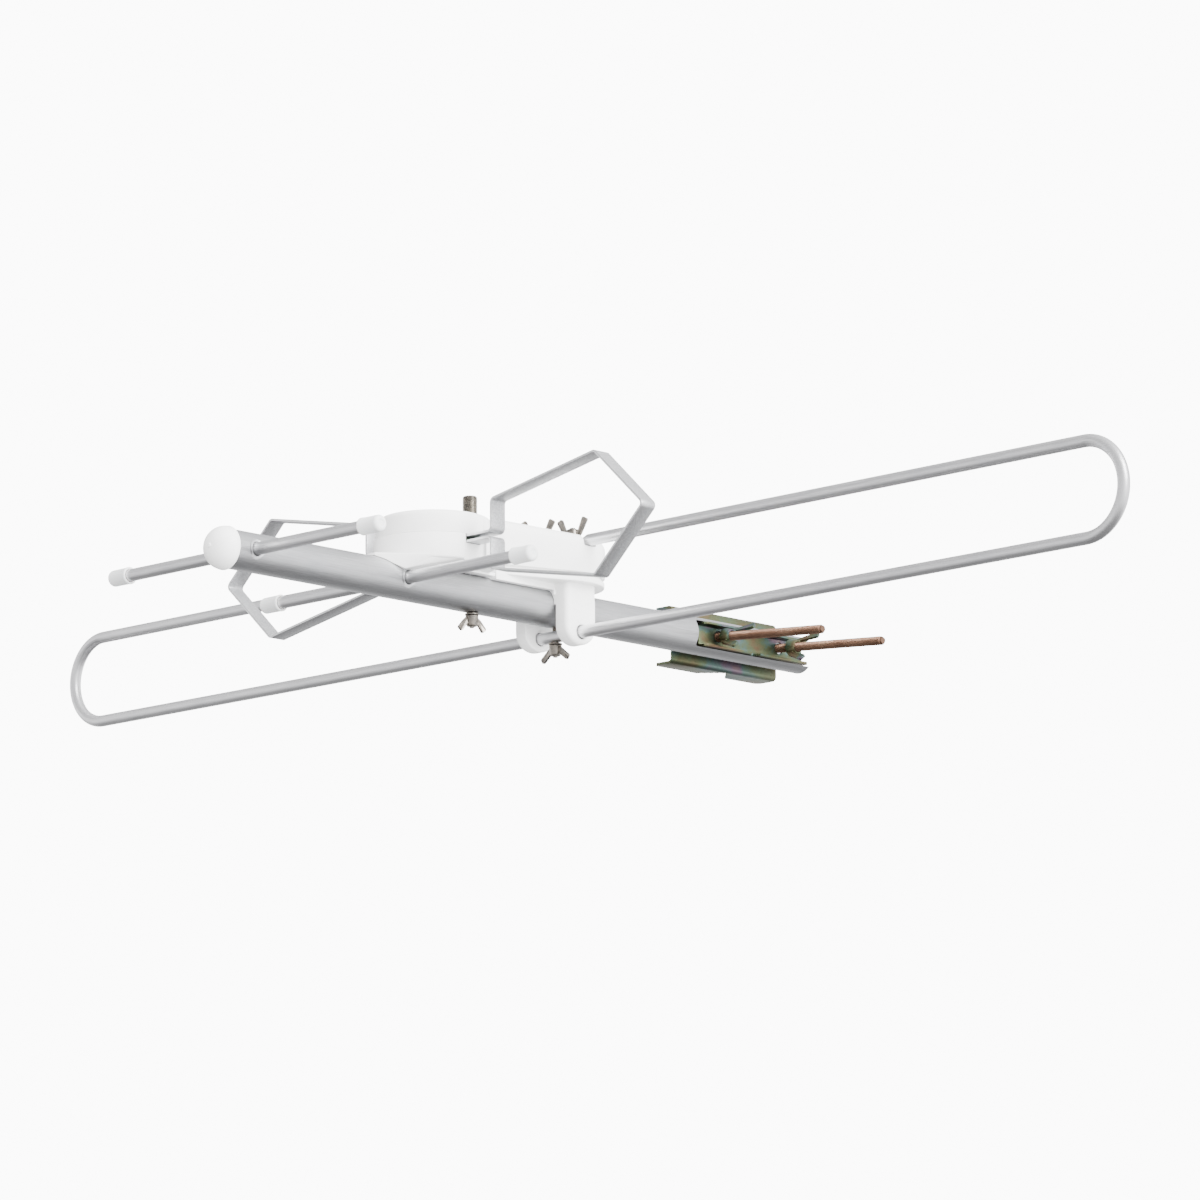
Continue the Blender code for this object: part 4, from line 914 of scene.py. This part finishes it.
def make_bracket():
    arm_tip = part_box("rear_bracket")[0].z
    flange, flange_t, split = 0.0136, 0.0038, 0.0198
    round_end, root, nub_x, nub_half = 0.86, 0.004, 0.0131, 0.0010
    bracket = pear("rear_housing_bracket", 0.0004, flange, flange + flange_t)
    ease_edges(bracket, 0.0007, 3, lambda e: foot_edges(flange)(e) or top_edges(flange + flange_t)(e))
    weld(bracket, pear("spigot", 0.0027, flange + 0.0030, split + 0.0025))
    cut(bracket, pear("room", 0.0042, flange + 0.0040, split + 0.01))
    front = LOOP_Y + BOX_R + 0.0022
    side = BOOM_R + GAP + 0.0006
    rails = block("rails", (-side, front, 0.0095), (side, DIPOLE_Y + 0.010, flange + 0.0020))
    weld(bracket, rails)
    hub = block("hub", (-ARM_OUT, DIPOLE_Y - ARM_HALF, 0.0), (ARM_OUT, DIPOLE_Y + ARM_HALF, flange + 0.0012))
    ease_edges(hub, 0.0036, 6, lambda e: runs(e, 2))
    weld(bracket, hub)
    centre = arm_tip + ARM_HALF * round_end
    for sign in (-1, 1):
        points = [(sign * ARM_IN, DIPOLE_Y + ARM_HALF, root), (sign * ARM_IN, DIPOLE_Y - ARM_HALF, root)]
        for i in range(25):
            a = pi + pi * i / 24
            points.append((sign * ARM_IN, DIPOLE_Y + ARM_HALF * cos(a),
                           centre + ARM_HALF * round_end * sin(a)))
        arm = outline("arm", points, X * sign * (ARM_OUT - ARM_IN))
        ease_edges(arm, 0.0030, 6, face_edge(sign * ARM_OUT))
        ease_edges(arm, 0.0008, 3, face_edge(sign * ARM_IN))
        weld(bracket, arm)
        nub = block("nub", (sign * nub_x - nub_half, DIPOLE_Y - ARM_HALF - 0.0014, 0.0062),
                    (sign * nub_x + nub_half, DIPOLE_Y - ARM_HALF + 0.0020, 0.0102))
        ease(nub, 0.0005, 3, 40)
        weld(bracket, nub)
    cut(bracket, bar("boom_room", (0, 0, 0), Y, front - 0.02, DIPOLE_Y + 0.05, BOOM_R + GAP, 128))
    cut(bracket, block("between", (-ARM_IN, DIPOLE_Y - 0.03, -0.04), (ARM_IN, DIPOLE_Y + 0.05, 0.0)))
    drill(bracket, (0, DIPOLE_Y, 0), Z, 0.005, 0.03, M4_HOLE, 32)
    lower_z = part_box("dipole_right")[0].z + ROD_R
    for sign in (-1, 1):
        face, back, bore = sign * ARM_OUT, sign * 0.012, ROD_R + 2 * GAP
        profile = [(back, 0.0), (back, bore), (face - sign * 0.0006, bore),
                   (face + sign * 0.0006, bore + 0.0011), (face + sign * 0.002, ROD_R + 0.004),
                   (face + sign * 0.002, 0.0)]
        cut(bracket, turned("mouth", (0, DIPOLE_Y, lower_z), X, profile, 64))
    tidy_shell(bracket)
    hand_over(bracket, WHITE, "antenna", ["rear_bracket"], 30)


# ================================================================ folded dipole
def make_dipole():
    low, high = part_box("dipole_right")
    upper, lower, reach = high.z - ROD_R, low.z + ROD_R, high.x
    mid, radius = (upper + lower) / 2, (upper - lower) / 2
    bend_x = reach - ROD_R - radius
    feed_x = middle("feed_bolt_right").x
    round_to, ring = 0.031, 0.006              # where the tube is still round, and the short rows
    flat_w, flat_h = 0.0098, 0.0044            # the flattened ends
    taper, flat, tip = 0.006, 0.0125, 0.0040   # their lengths
    lower_end = {"left": -0.0095, "right": 0.0098}
    at_upper = (0, DIPOLE_Y, upper)
    for side, sign in (("left", -1), ("right", 1)):
        out = X * sign
        clear()
        bpy.ops.mesh.primitive_circle_add(
            vertices=48, radius=ROD_R, location=(sign * round_to, DIPOLE_Y, upper), rotation=(0, pi / 2, 0))
        rod = settle(bpy.context.object)
        rod.name = "dipole_%s_rod" % side
        edit(rod, all_of_it=True)
        for step in ((bend_x - round_to) * 0.5, (bend_x - round_to) * 0.5 - ring, ring):
            draw_out(out * step)
        bpy.ops.mesh.spin(steps=40, angle=sign * -pi, center=(sign * bend_x, DIPOLE_Y, mid), axis=Y)
        span = bend_x - lower_end[side]
        for share in (ring / span, 0.494, 1 - 0.494 - ring / span):
            draw_out(-out * span * share)
        bpy.ops.mesh.edge_face_add()
        pick(rod, "VERT", lambda v: abs(v.co.x - sign * round_to) < 1e-6 and v.co.z > mid)
        draw_out(-out * taper)
        bpy.ops.transform.resize(
            value=(1, flat_w / (2 * ROD_R), flat_h / (2 * ROD_R)), center_override=at_upper)
        bpy.ops.transform.translate(value=(0, 0, flat_h / 2 - ROD_R))
        draw_out(-out * flat)
        draw_out(-out * tip)
        bpy.ops.transform.resize(value=(1, 0.62, 1), center_override=at_upper)
        bpy.ops.mesh.edge_face_add()
        clear()
        crush_bend(rod, sign, bend_x, mid, radius)
        tidy_shell(rod)
        drill(rod, (sign * feed_x, DIPOLE_Y, 0), Z, upper - 0.01, upper + 0.01, M5_HOLE, 32)
        drill(rod, (0, DIPOLE_Y, 0), Z, lower - 0.01, lower + 0.01, NECK_HOLE, 32)
        if side == "left":
            drill(rod, (0, DIPOLE_Y, lower), X, -0.0115, 0.0105, 0.0028)
        else:
            neck = [(-0.0095, 0.0), (-0.0095, 0.0018), (-0.0089, 0.0024), (0.0104, 0.0024), (0.0104, 0.0)]
            weld(rod, turned("neck", (0, DIPOLE_Y, lower), X, neck, 48))
            drill(rod, (0, DIPOLE_Y, 0), Z, lower - 0.01, lower + 0.01, NECK_HOLE, 32)
            tidy_shell(rod)
        hand_over(rod, ROD_FINISH, "antenna", ["dipole_" + side])


def crush_bend(rod, sign, bend_x, mid, radius):
    """Bending flattens the inside of the tube a little and leaves one long crease there."""
    edit(rod)
    centre = Vector((sign * bend_x, DIPOLE_Y, mid))
    for width, squash in ((0.0016, 0.0005), (0.0030, 0.0003)):
        pick(rod, "VERT", lambda v: sign * (v.co.x - centre.x) > 0.0005
             and (Vector((v.co.x, 0, v.co.z)) - Vector((centre.x, 0, mid))).length < radius
             and abs(abs(v.co.y - DIPOLE_Y) - width) < 0.0007)
        bm = bmesh.from_edit_mesh(rod.data)
        if any(v.select for v in bm.verts):
            k = 1 + squash / radius
            bpy.ops.transform.resize(value=(k, 1, k), center_override=centre)
    clear()


# ================================================================ fasteners
def wing_nut(name, seat, axis, span_dir, bore, hub_r, span, rise, width):
    """A cast nut with two bar-like wings that lean outwards; `axis` points away from its seat."""
    seat, axis, u = Vector(seat), Vector(axis).normalized(), Vector(span_dir).normalized()
    v = axis.cross(u)
    hub_h = 0.0070
    profile = [(0.0, bore + 0.0003), (0.0, hub_r - 0.0003), (0.0003, hub_r), (0.0014, hub_r),
               (hub_h - 0.0010, hub_r * 0.84), (hub_h - 0.0003, hub_r * 0.80), (hub_h, hub_r * 0.74),
               (hub_h, bore + 0.0004), (hub_h - 0.0005, bore)]
    nut = turned(name, seat, axis, profile, 48, True)
    root = Vector((hub_r * 0.95, 0.0030))
    tip = Vector((span - width * 0.50, rise - width * 0.45))
    lean = (tip - root).normalized()
    side = Vector((lean.y, -lean.x)) * (width / 2)
    row = [Vector((hub_r * 0.74, 0.0012)), Vector((hub_r * 0.97, 0.0008)), root + side + lean * 0.0018]
    corner = [(1.0, -0.0006), (0.93, -0.0001), (0.80, 0.0003), (0.60, 0.0005)]
    row += [tip + side * k + lean * d for k, d in corner]
    row += [tip - side * k + lean * d for k, d in reversed(corner)]
    row += [Vector((hub_r * 1.0, hub_h * 0.80)), Vector((hub_r * 0.74, hub_h * 0.86))]
    thick = 0.0021
    wings = []
    for sign in (-1, 1):
        points = [seat + u * (sign * p.x) + axis * p.y - v * thick / 2 for p in row]
        wing = outline("wing", points, v * thick)
        edit(wing, "FACE")
        pick(wing, "FACE", lambda f: abs(f.normal.dot(v)) > 0.9)
        bpy.ops.mesh.inset(thickness=0.0009, depth=-0.00035, use_individual=True)
        clear()
        wings.append(ease(wing, 0.0003, 3, 28))
    return gather(nut, *wings)


def thread(name, seat, axis, start, end, root, crest, pitch, sides=24):
    """A screw thread along the axis from `start` to `end`, closed at both ends."""
    turns = max(2, int((end - start) / pitch) - 1)
    pitch = (end - start) / (turns + 1)
    row = [(root, 0.0), (crest, 0.34), (crest, 0.50), (root, 0.84), (root, 1.0)]
    obj = line(name, [(r, 0, t * pitch) for r, t in row])
    clear()
    apply(obj, "SCREW", axis="Z", angle=2 * pi, screw_offset=pitch, iterations=turns, steps=sides,
          render_steps=sides, use_merge_vertices=True, merge_threshold=1e-7)
    edit(obj, all_of_it=True)
    bpy.ops.mesh.remove_doubles(threshold=1e-6)
    bpy.ops.mesh.select_all(action="DESELECT")
    bpy.ops.mesh.select_mode(type="EDGE")
    bpy.ops.mesh.select_non_manifold(extend=False, use_wire=False, use_multi_face=False,
                                     use_non_contiguous=False, use_verts=False)
    bpy.ops.mesh.edge_face_add()
    clear()
    tidy_shell(obj, 1e-7)
    axis = Vector(axis).normalized()
    obj.rotation_euler = axis.to_track_quat("Z", "Y").to_euler()
    obj.location = Vector(seat) + axis * start
    return settle(obj)


def bolt(name, seat, axis, length, radius, pitch, head, plain, hexagon=False):
    """A bolt from under its head; `head` is (radius, height) and `plain` the unthreaded length."""
    seat, axis = Vector(seat), Vector(axis).normalized()
    head_r, head_h = head
    dome = [(-head_h, 0.0), (-head_h, head_r * 0.55), (-head_h * 0.86, head_r * 0.86),
            (-head_h * 0.55, head_r), (-0.0003, head_r), (0.0, head_r - 0.0003)]
    shank = [(0.0, radius), (plain, radius), (plain + 0.0003, radius * 0.86),
             (length - 0.0008, radius * 0.84), (length, radius * 0.70), (length, 0.0)]
    if hexagon:
        body = turned(name, seat, axis, [(-0.0001, 0.0), (-0.0001, radius)] + shank[1:], 40)
        clear()
        turn = axis.to_track_quat("Z", "Y").to_euler()
        bpy.ops.mesh.primitive_cylinder_add(vertices=6, radius=head_r * 1.1547, depth=head_h,
                                            location=seat - axis * head_h / 2, rotation=turn)
        top = settle(bpy.context.object)
        cone = turned("cone", seat, axis, [(-head_h - 0.001, 0.0), (-head_h - 0.001, head_r * 0.88),
                      (-head_h + 0.0012, head_r * 1.16), (0.001, head_r * 1.16), (0.001, 0.0)], 64)
        combine(top, cone, "INTERSECT")
        ease(top, 0.0002, 2, 30)
        weld(body, top)
    else:
        body = turned(name, seat, axis, dome + shank, 48)
    coil = thread("coil", seat, axis, plain, length - 0.0006, radius * 0.80, radius, pitch)
    return gather(body, coil)


def washer(name, node, centre, bore):
    low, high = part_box(node)
    start, end, outer = low.z, high.z, (high.y - low.y) / 2
    e = 0.00018
    profile = [(start, bore), (start, outer - e), (start + e, outer), (end - e, outer),
               (end, outer - e), (end, bore + e), (end - e, bore)]
    ring = turned(name, centre, Z, profile, 64, True)
    hand_over(ring, NICKEL, "antenna", [node])


def make_feed_hardware():
    for side, turn in (("left", radians(21)), ("right", radians(7))):
        low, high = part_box("feed_bolt_" + side)
        at = middle("feed_bolt_" + side)
        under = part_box("dipole_right")[1].z - 2 * ROD_R - GAP - TROUGH_FLOOR - 2 * GAP
        stud = bolt("feed_stud_" + side, (at.x, at.y, under), Z, high.z - under, 0.0025, 0.0008,
                    (0.0046, under - low.z), 0.0050)
        hand_over(stud, NICKEL, "antenna", ["feed_bolt_" + side])
        washer("feed_ring_" + side, "feed_washer_" + side, (at.x, at.y, 0), M5_HOLE)
        seat = (at.x, at.y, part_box("feed_wing_nut_" + side)[0].z)
        nut = wing_nut("feed_wing_" + side, seat, Z, (cos(turn), sin(turn), 0), M5_HOLE, 0.0046,
                       0.0125, 0.0155, 0.0044)
        hand_over(nut, NICKEL, "feed_nut_" + side, ["feed_wing_nut_" + side])


def make_boom_hardware():
    head_r, head_h = 0.0036, 0.0022
    for which, y, turn, span in (("front", FRONT_BOLT_Y, 80, 0.0112), ("rear", DIPOLE_Y, -5, 0.0145)):
        low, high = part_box(which + "_bolt")
        head_seat = high.z - head_h
        stud = bolt(which + "_stud", (0, y, head_seat), -Z, head_seat - low.z, 0.0020, 0.0007,
                    (head_r, head_h), 0.0060)
        hand_over(stud, NICKEL, "antenna", [which + "_bolt"])
        washer(which + "_ring", which + "_washer", (0, y, 0), M4_HOLE)
        seat = (0, y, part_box(which + "_wing_nut")[1].z)
        turn = radians(turn)
        nut = wing_nut(which + "_wing", seat, -Z, (cos(turn), sin(turn), 0), M4_HOLE, 0.0042,
                       span, 0.0110, 0.0040)
        hand_over(nut, NICKEL, which + "_nut", [which + "_wing_nut"])


# ================================================================ mast clamp
def tooth_row(side, lip, out, depth, teeth, bite):
    """One toothed flank of the V notch as (y, x), from the lip in to its point."""
    start, end = Vector((side * depth, lip)), Vector((0.0, lip - out * depth))
    step = (end - start) / teeth
    square = Vector((-step.y, step.x)).normalized()
    if square.y * out < 0:
        square = -square
    row = []
    for i in range(teeth):
        here = start + step * i
        row.append(here - square * (bite if i else 0.0))
        row.append(start + step * (i + 0.55))
    return row


def channel(name, y0, y1, web, lip, z_mid, half, corner, notch, radius):
    """A pressed channel from one plate: bent round a web, then notched, clipped and drilled."""
    out = 1 if lip > web else -1
    t = PLATE_T / 2
    section = [(lip, z_mid + half - t), (web + out * t, z_mid + half - t),
               (web + out * t, z_mid - half + t), (lip, z_mid - half + t)]
    path = rounded(section, radius, 6)
    plate = bent_sheet(name, [(p.x, y0, p.y) for p in path], Y * (y1 - y0), PLATE_T)
    down = tooth_row(-1, lip, out, notch, 5, 0.0012)
    up = [Vector((-p.x, p.y)) for p in reversed(down)]
    points = [(lip + out * 0.002, -notch - 0.002)] + [(p.y, p.x) for p in down]
    points += [(lip - out * notch, 0.0)] + [(p.y, p.x) for p in up] + [(lip + out * 0.002, notch + 0.002)]
    bottom = z_mid - half - 0.005
    cutter = outline("notch", [(x, y, bottom) for x, y in points], Z * (2 * half + 0.01))
    cut(plate, cutter)
    for end, inward in ((y0, 1), (y1, -1)):
        tri = [(lip + out * 0.001, end - inward * 0.001), (lip + out * 0.001, end + inward * corner),
               (lip - out * corner, end - inward * 0.001)]
        cut(plate, outline("corner", [(x, y, bottom) for x, y in tri], Z * (2 * half + 0.01)))
    for sign in (-1, 1):
        z = BOLT_Z - (web + BOOM_R) * tan(BOLT_TILT)
        drill(plate, (web, sign * BOLT_PITCH / 2, z), X, -0.004, 0.004, CLAMP_HOLE, 40)
    tidy_shell(plate)
    ease(plate, 0.00025, 2, 45)
    return plate


def make_clamp():
    low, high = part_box("clamp_insert")
    insert = channel("clamp_insert_plate", low.y, high.y, web=low.x, lip=high.x, z_mid=0.0, half=high.z,
                     corner=0.0030, notch=0.0045, radius=0.0018)
    hand_over(insert, CHROMATE, "antenna", ["clamp_insert"])
    low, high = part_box("clamp_jaw")
    jaw = channel("clamp_jaw_plate", low.y, high.y, web=high.x, lip=low.x, z_mid=BOLT_Z,
                  half=(high.z - low.z) / 2, corner=0.0040, notch=0.0140, radius=0.0024)
    # The jaw takes the chromate copy whose darker olive is painted shade.
    hand_over(jaw, JAW_SHADED_FINISH, "jaw", ["clamp_jaw"])
    axis = Vector((cos(BOLT_TILT), 0, -sin(BOLT_TILT)))
    lift = Vector((sin(BOLT_TILT), 0, cos(BOLT_TILT)))
    head_x, tip_x = -BOOM_R - GAP - PLATE_T - 0.0009, 0.1000
    for number, end, stand, turn in ((1, -1, 0.0056, radians(41)), (2, 1, 0.0105, radians(50))):
        y = end * BOLT_PITCH / 2
        z = BOLT_Z - (head_x + BOOM_R) * tan(BOLT_TILT)
        length = (tip_x - head_x) / cos(BOLT_TILT)
        stud = bolt("clamp_stud_%d" % number, (head_x, y, z), axis, length, 0.0030, 0.0010,
                    (0.0050, 0.0040), 0.0120, True)
        hand_over(stud, BROWN, "jaw", ["clamp_bolt_%d" % number])
        x = 0.0040 + PLATE_T + stand
        seat = (x, y, BOLT_Z - (x + BOOM_R) * tan(BOLT_TILT))
        nut = wing_nut("clamp_wing_%d" % number, seat, axis, Y * cos(turn) + lift * sin(turn),
                       M6_NUT_BORE, 0.0056, 0.0138, 0.0205, 0.0050)
        hand_over(nut, CHROMATE, "clamp_nut_%d" % number, ["clamp_wing_nut_%d" % number])


def dress_inside():
    """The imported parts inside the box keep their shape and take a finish."""
    for node, finish in (("circuit_board", BOARD), ("balun_core", FERRITE),
                         ("loop_screw_left", NICKEL), ("loop_screw_right", NICKEL)):
        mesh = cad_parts[node].data
        mesh.materials.clear()
        mesh.materials.append(finish)


# ================================================================ studio
def make_studio():
    clear()
    bpy.ops.mesh.primitive_plane_add(size=40, location=(0, 0, -1.35))
    floor = bpy.context.object
    floor.name = "studio_floor"
    floor.visible_glossy = False
    floor.visible_diffuse = False
    shade = Shade("pale_floor", 0.8, 0.0)
    cloud = shade.noise(1.5, 2.0, 0.5)
    floor.data.materials.append(shade.done(shade.mix(cloud, (0.86, 0.86, 0.86), (0.88, 0.88, 0.88))))

    world = bpy.data.worlds.new("studio_light")
    bpy.context.scene.world = world
    world.use_nodes = True
    world.node_tree.nodes.clear()
    sky = Nodes(world.node_tree)
    way = sky.node("ShaderNodeTexCoord").out("Generated")
    split = sky.node("ShaderNodeSeparateXYZ", None, {"Vector": way})
    east, north, up = split.out("X"), split.out("Y"), split.out("Z")
    levels = [(0.0, 0.30), (0.08, 0.26), (0.145, 0.18), (0.22, 0.50), (0.34, 1.15), (0.50, 1.30),
              (0.62, 1.0), (0.76, 0.55), (0.88, 0.85), (1.0, 1.0)]
    stops = [(at, (level / 1.3, level / 1.3, level / 1.28)) for at, level in levels]
    bands = sky.node("ShaderNodeValToRGB", {"stops": stops}, {"Fac": up * 0.5 + 0.5})
    lit_side = (east * 0.75 + north * 0.55 + up * 0.20).ramp(-0.2, 0.9)
    shiny = sky.node("ShaderNodeBackground", None, {"Color": bands, "Strength": 1.40 + lit_side * 1.0})
    open_side = (east * 0.90 + north * 0.10 + up * 0.42).ramp(-0.5, 0.9)
    soft = sky.node("ShaderNodeBackground", None, {"Strength": 1.0 + open_side * 6.4, "Color": (1, 1, 1, 1)})
    seen = sky.node("ShaderNodeBackground", None, {"Strength": 11.0, "Color": (1, 1, 1, 1)})
    path = sky.node("ShaderNodeLightPath")
    first = sky.node("ShaderNodeMixShader", None, {0: path.out("Is Glossy Ray"), 1: soft, 2: shiny})
    second = sky.node("ShaderNodeMixShader", None, {0: path.out("Is Camera Ray"), 1: first, 2: seen})
    out = world.node_tree.nodes.new("ShaderNodeOutputWorld")
    world.node_tree.links.new(second.socket, out.inputs["Surface"])

    for name, place, size, power in (("key_light", (2.6, 0.0, 1.5), 1.4, 120.0),
                                     ("fill_light", (-2.4, -0.8, 0.6), 1.8, 8.0)):
        clear()
        bpy.ops.object.light_add(type="AREA", location=place)
        lamp = bpy.context.object
        lamp.name = name
        lamp.data.size = size
        lamp.data.energy = power
        aim = Vector((0, -0.2, 0)) - Vector(place)
        lamp.rotation_euler = aim.to_track_quat("-Z", "Y").to_euler()


def make_camera():
    azimuth, elevation, distance = radians(45.406), radians(-10.968), 3.942
    target = Vector((0, -0.222, 0))
    back = Vector((sin(azimuth) * cos(elevation), -cos(azimuth) * cos(elevation), sin(elevation)))
    clear()
    bpy.ops.object.camera_add(location=target + back * distance)
    camera = bpy.context.object
    camera.name = "view_camera"
    camera.rotation_euler = (-back).to_track_quat("-Z", "Y").to_euler()
    camera.data.lens = 182.7
    camera.data.sensor_width = 36.0
    camera.data.shift_x = 0.0768
    camera.data.shift_y = 0.0008
    camera.data.clip_end = 100.0
    bpy.context.scene.camera = camera


make_camera()
make_boom()
make_end_cap()
make_directors()
make_loops()
make_box_base()
make_box_cover()
make_socket()
make_rear_cover()
make_bracket()
make_dipole()
make_feed_hardware()
make_boom_hardware()
make_clamp()
dress_inside()
make_studio()
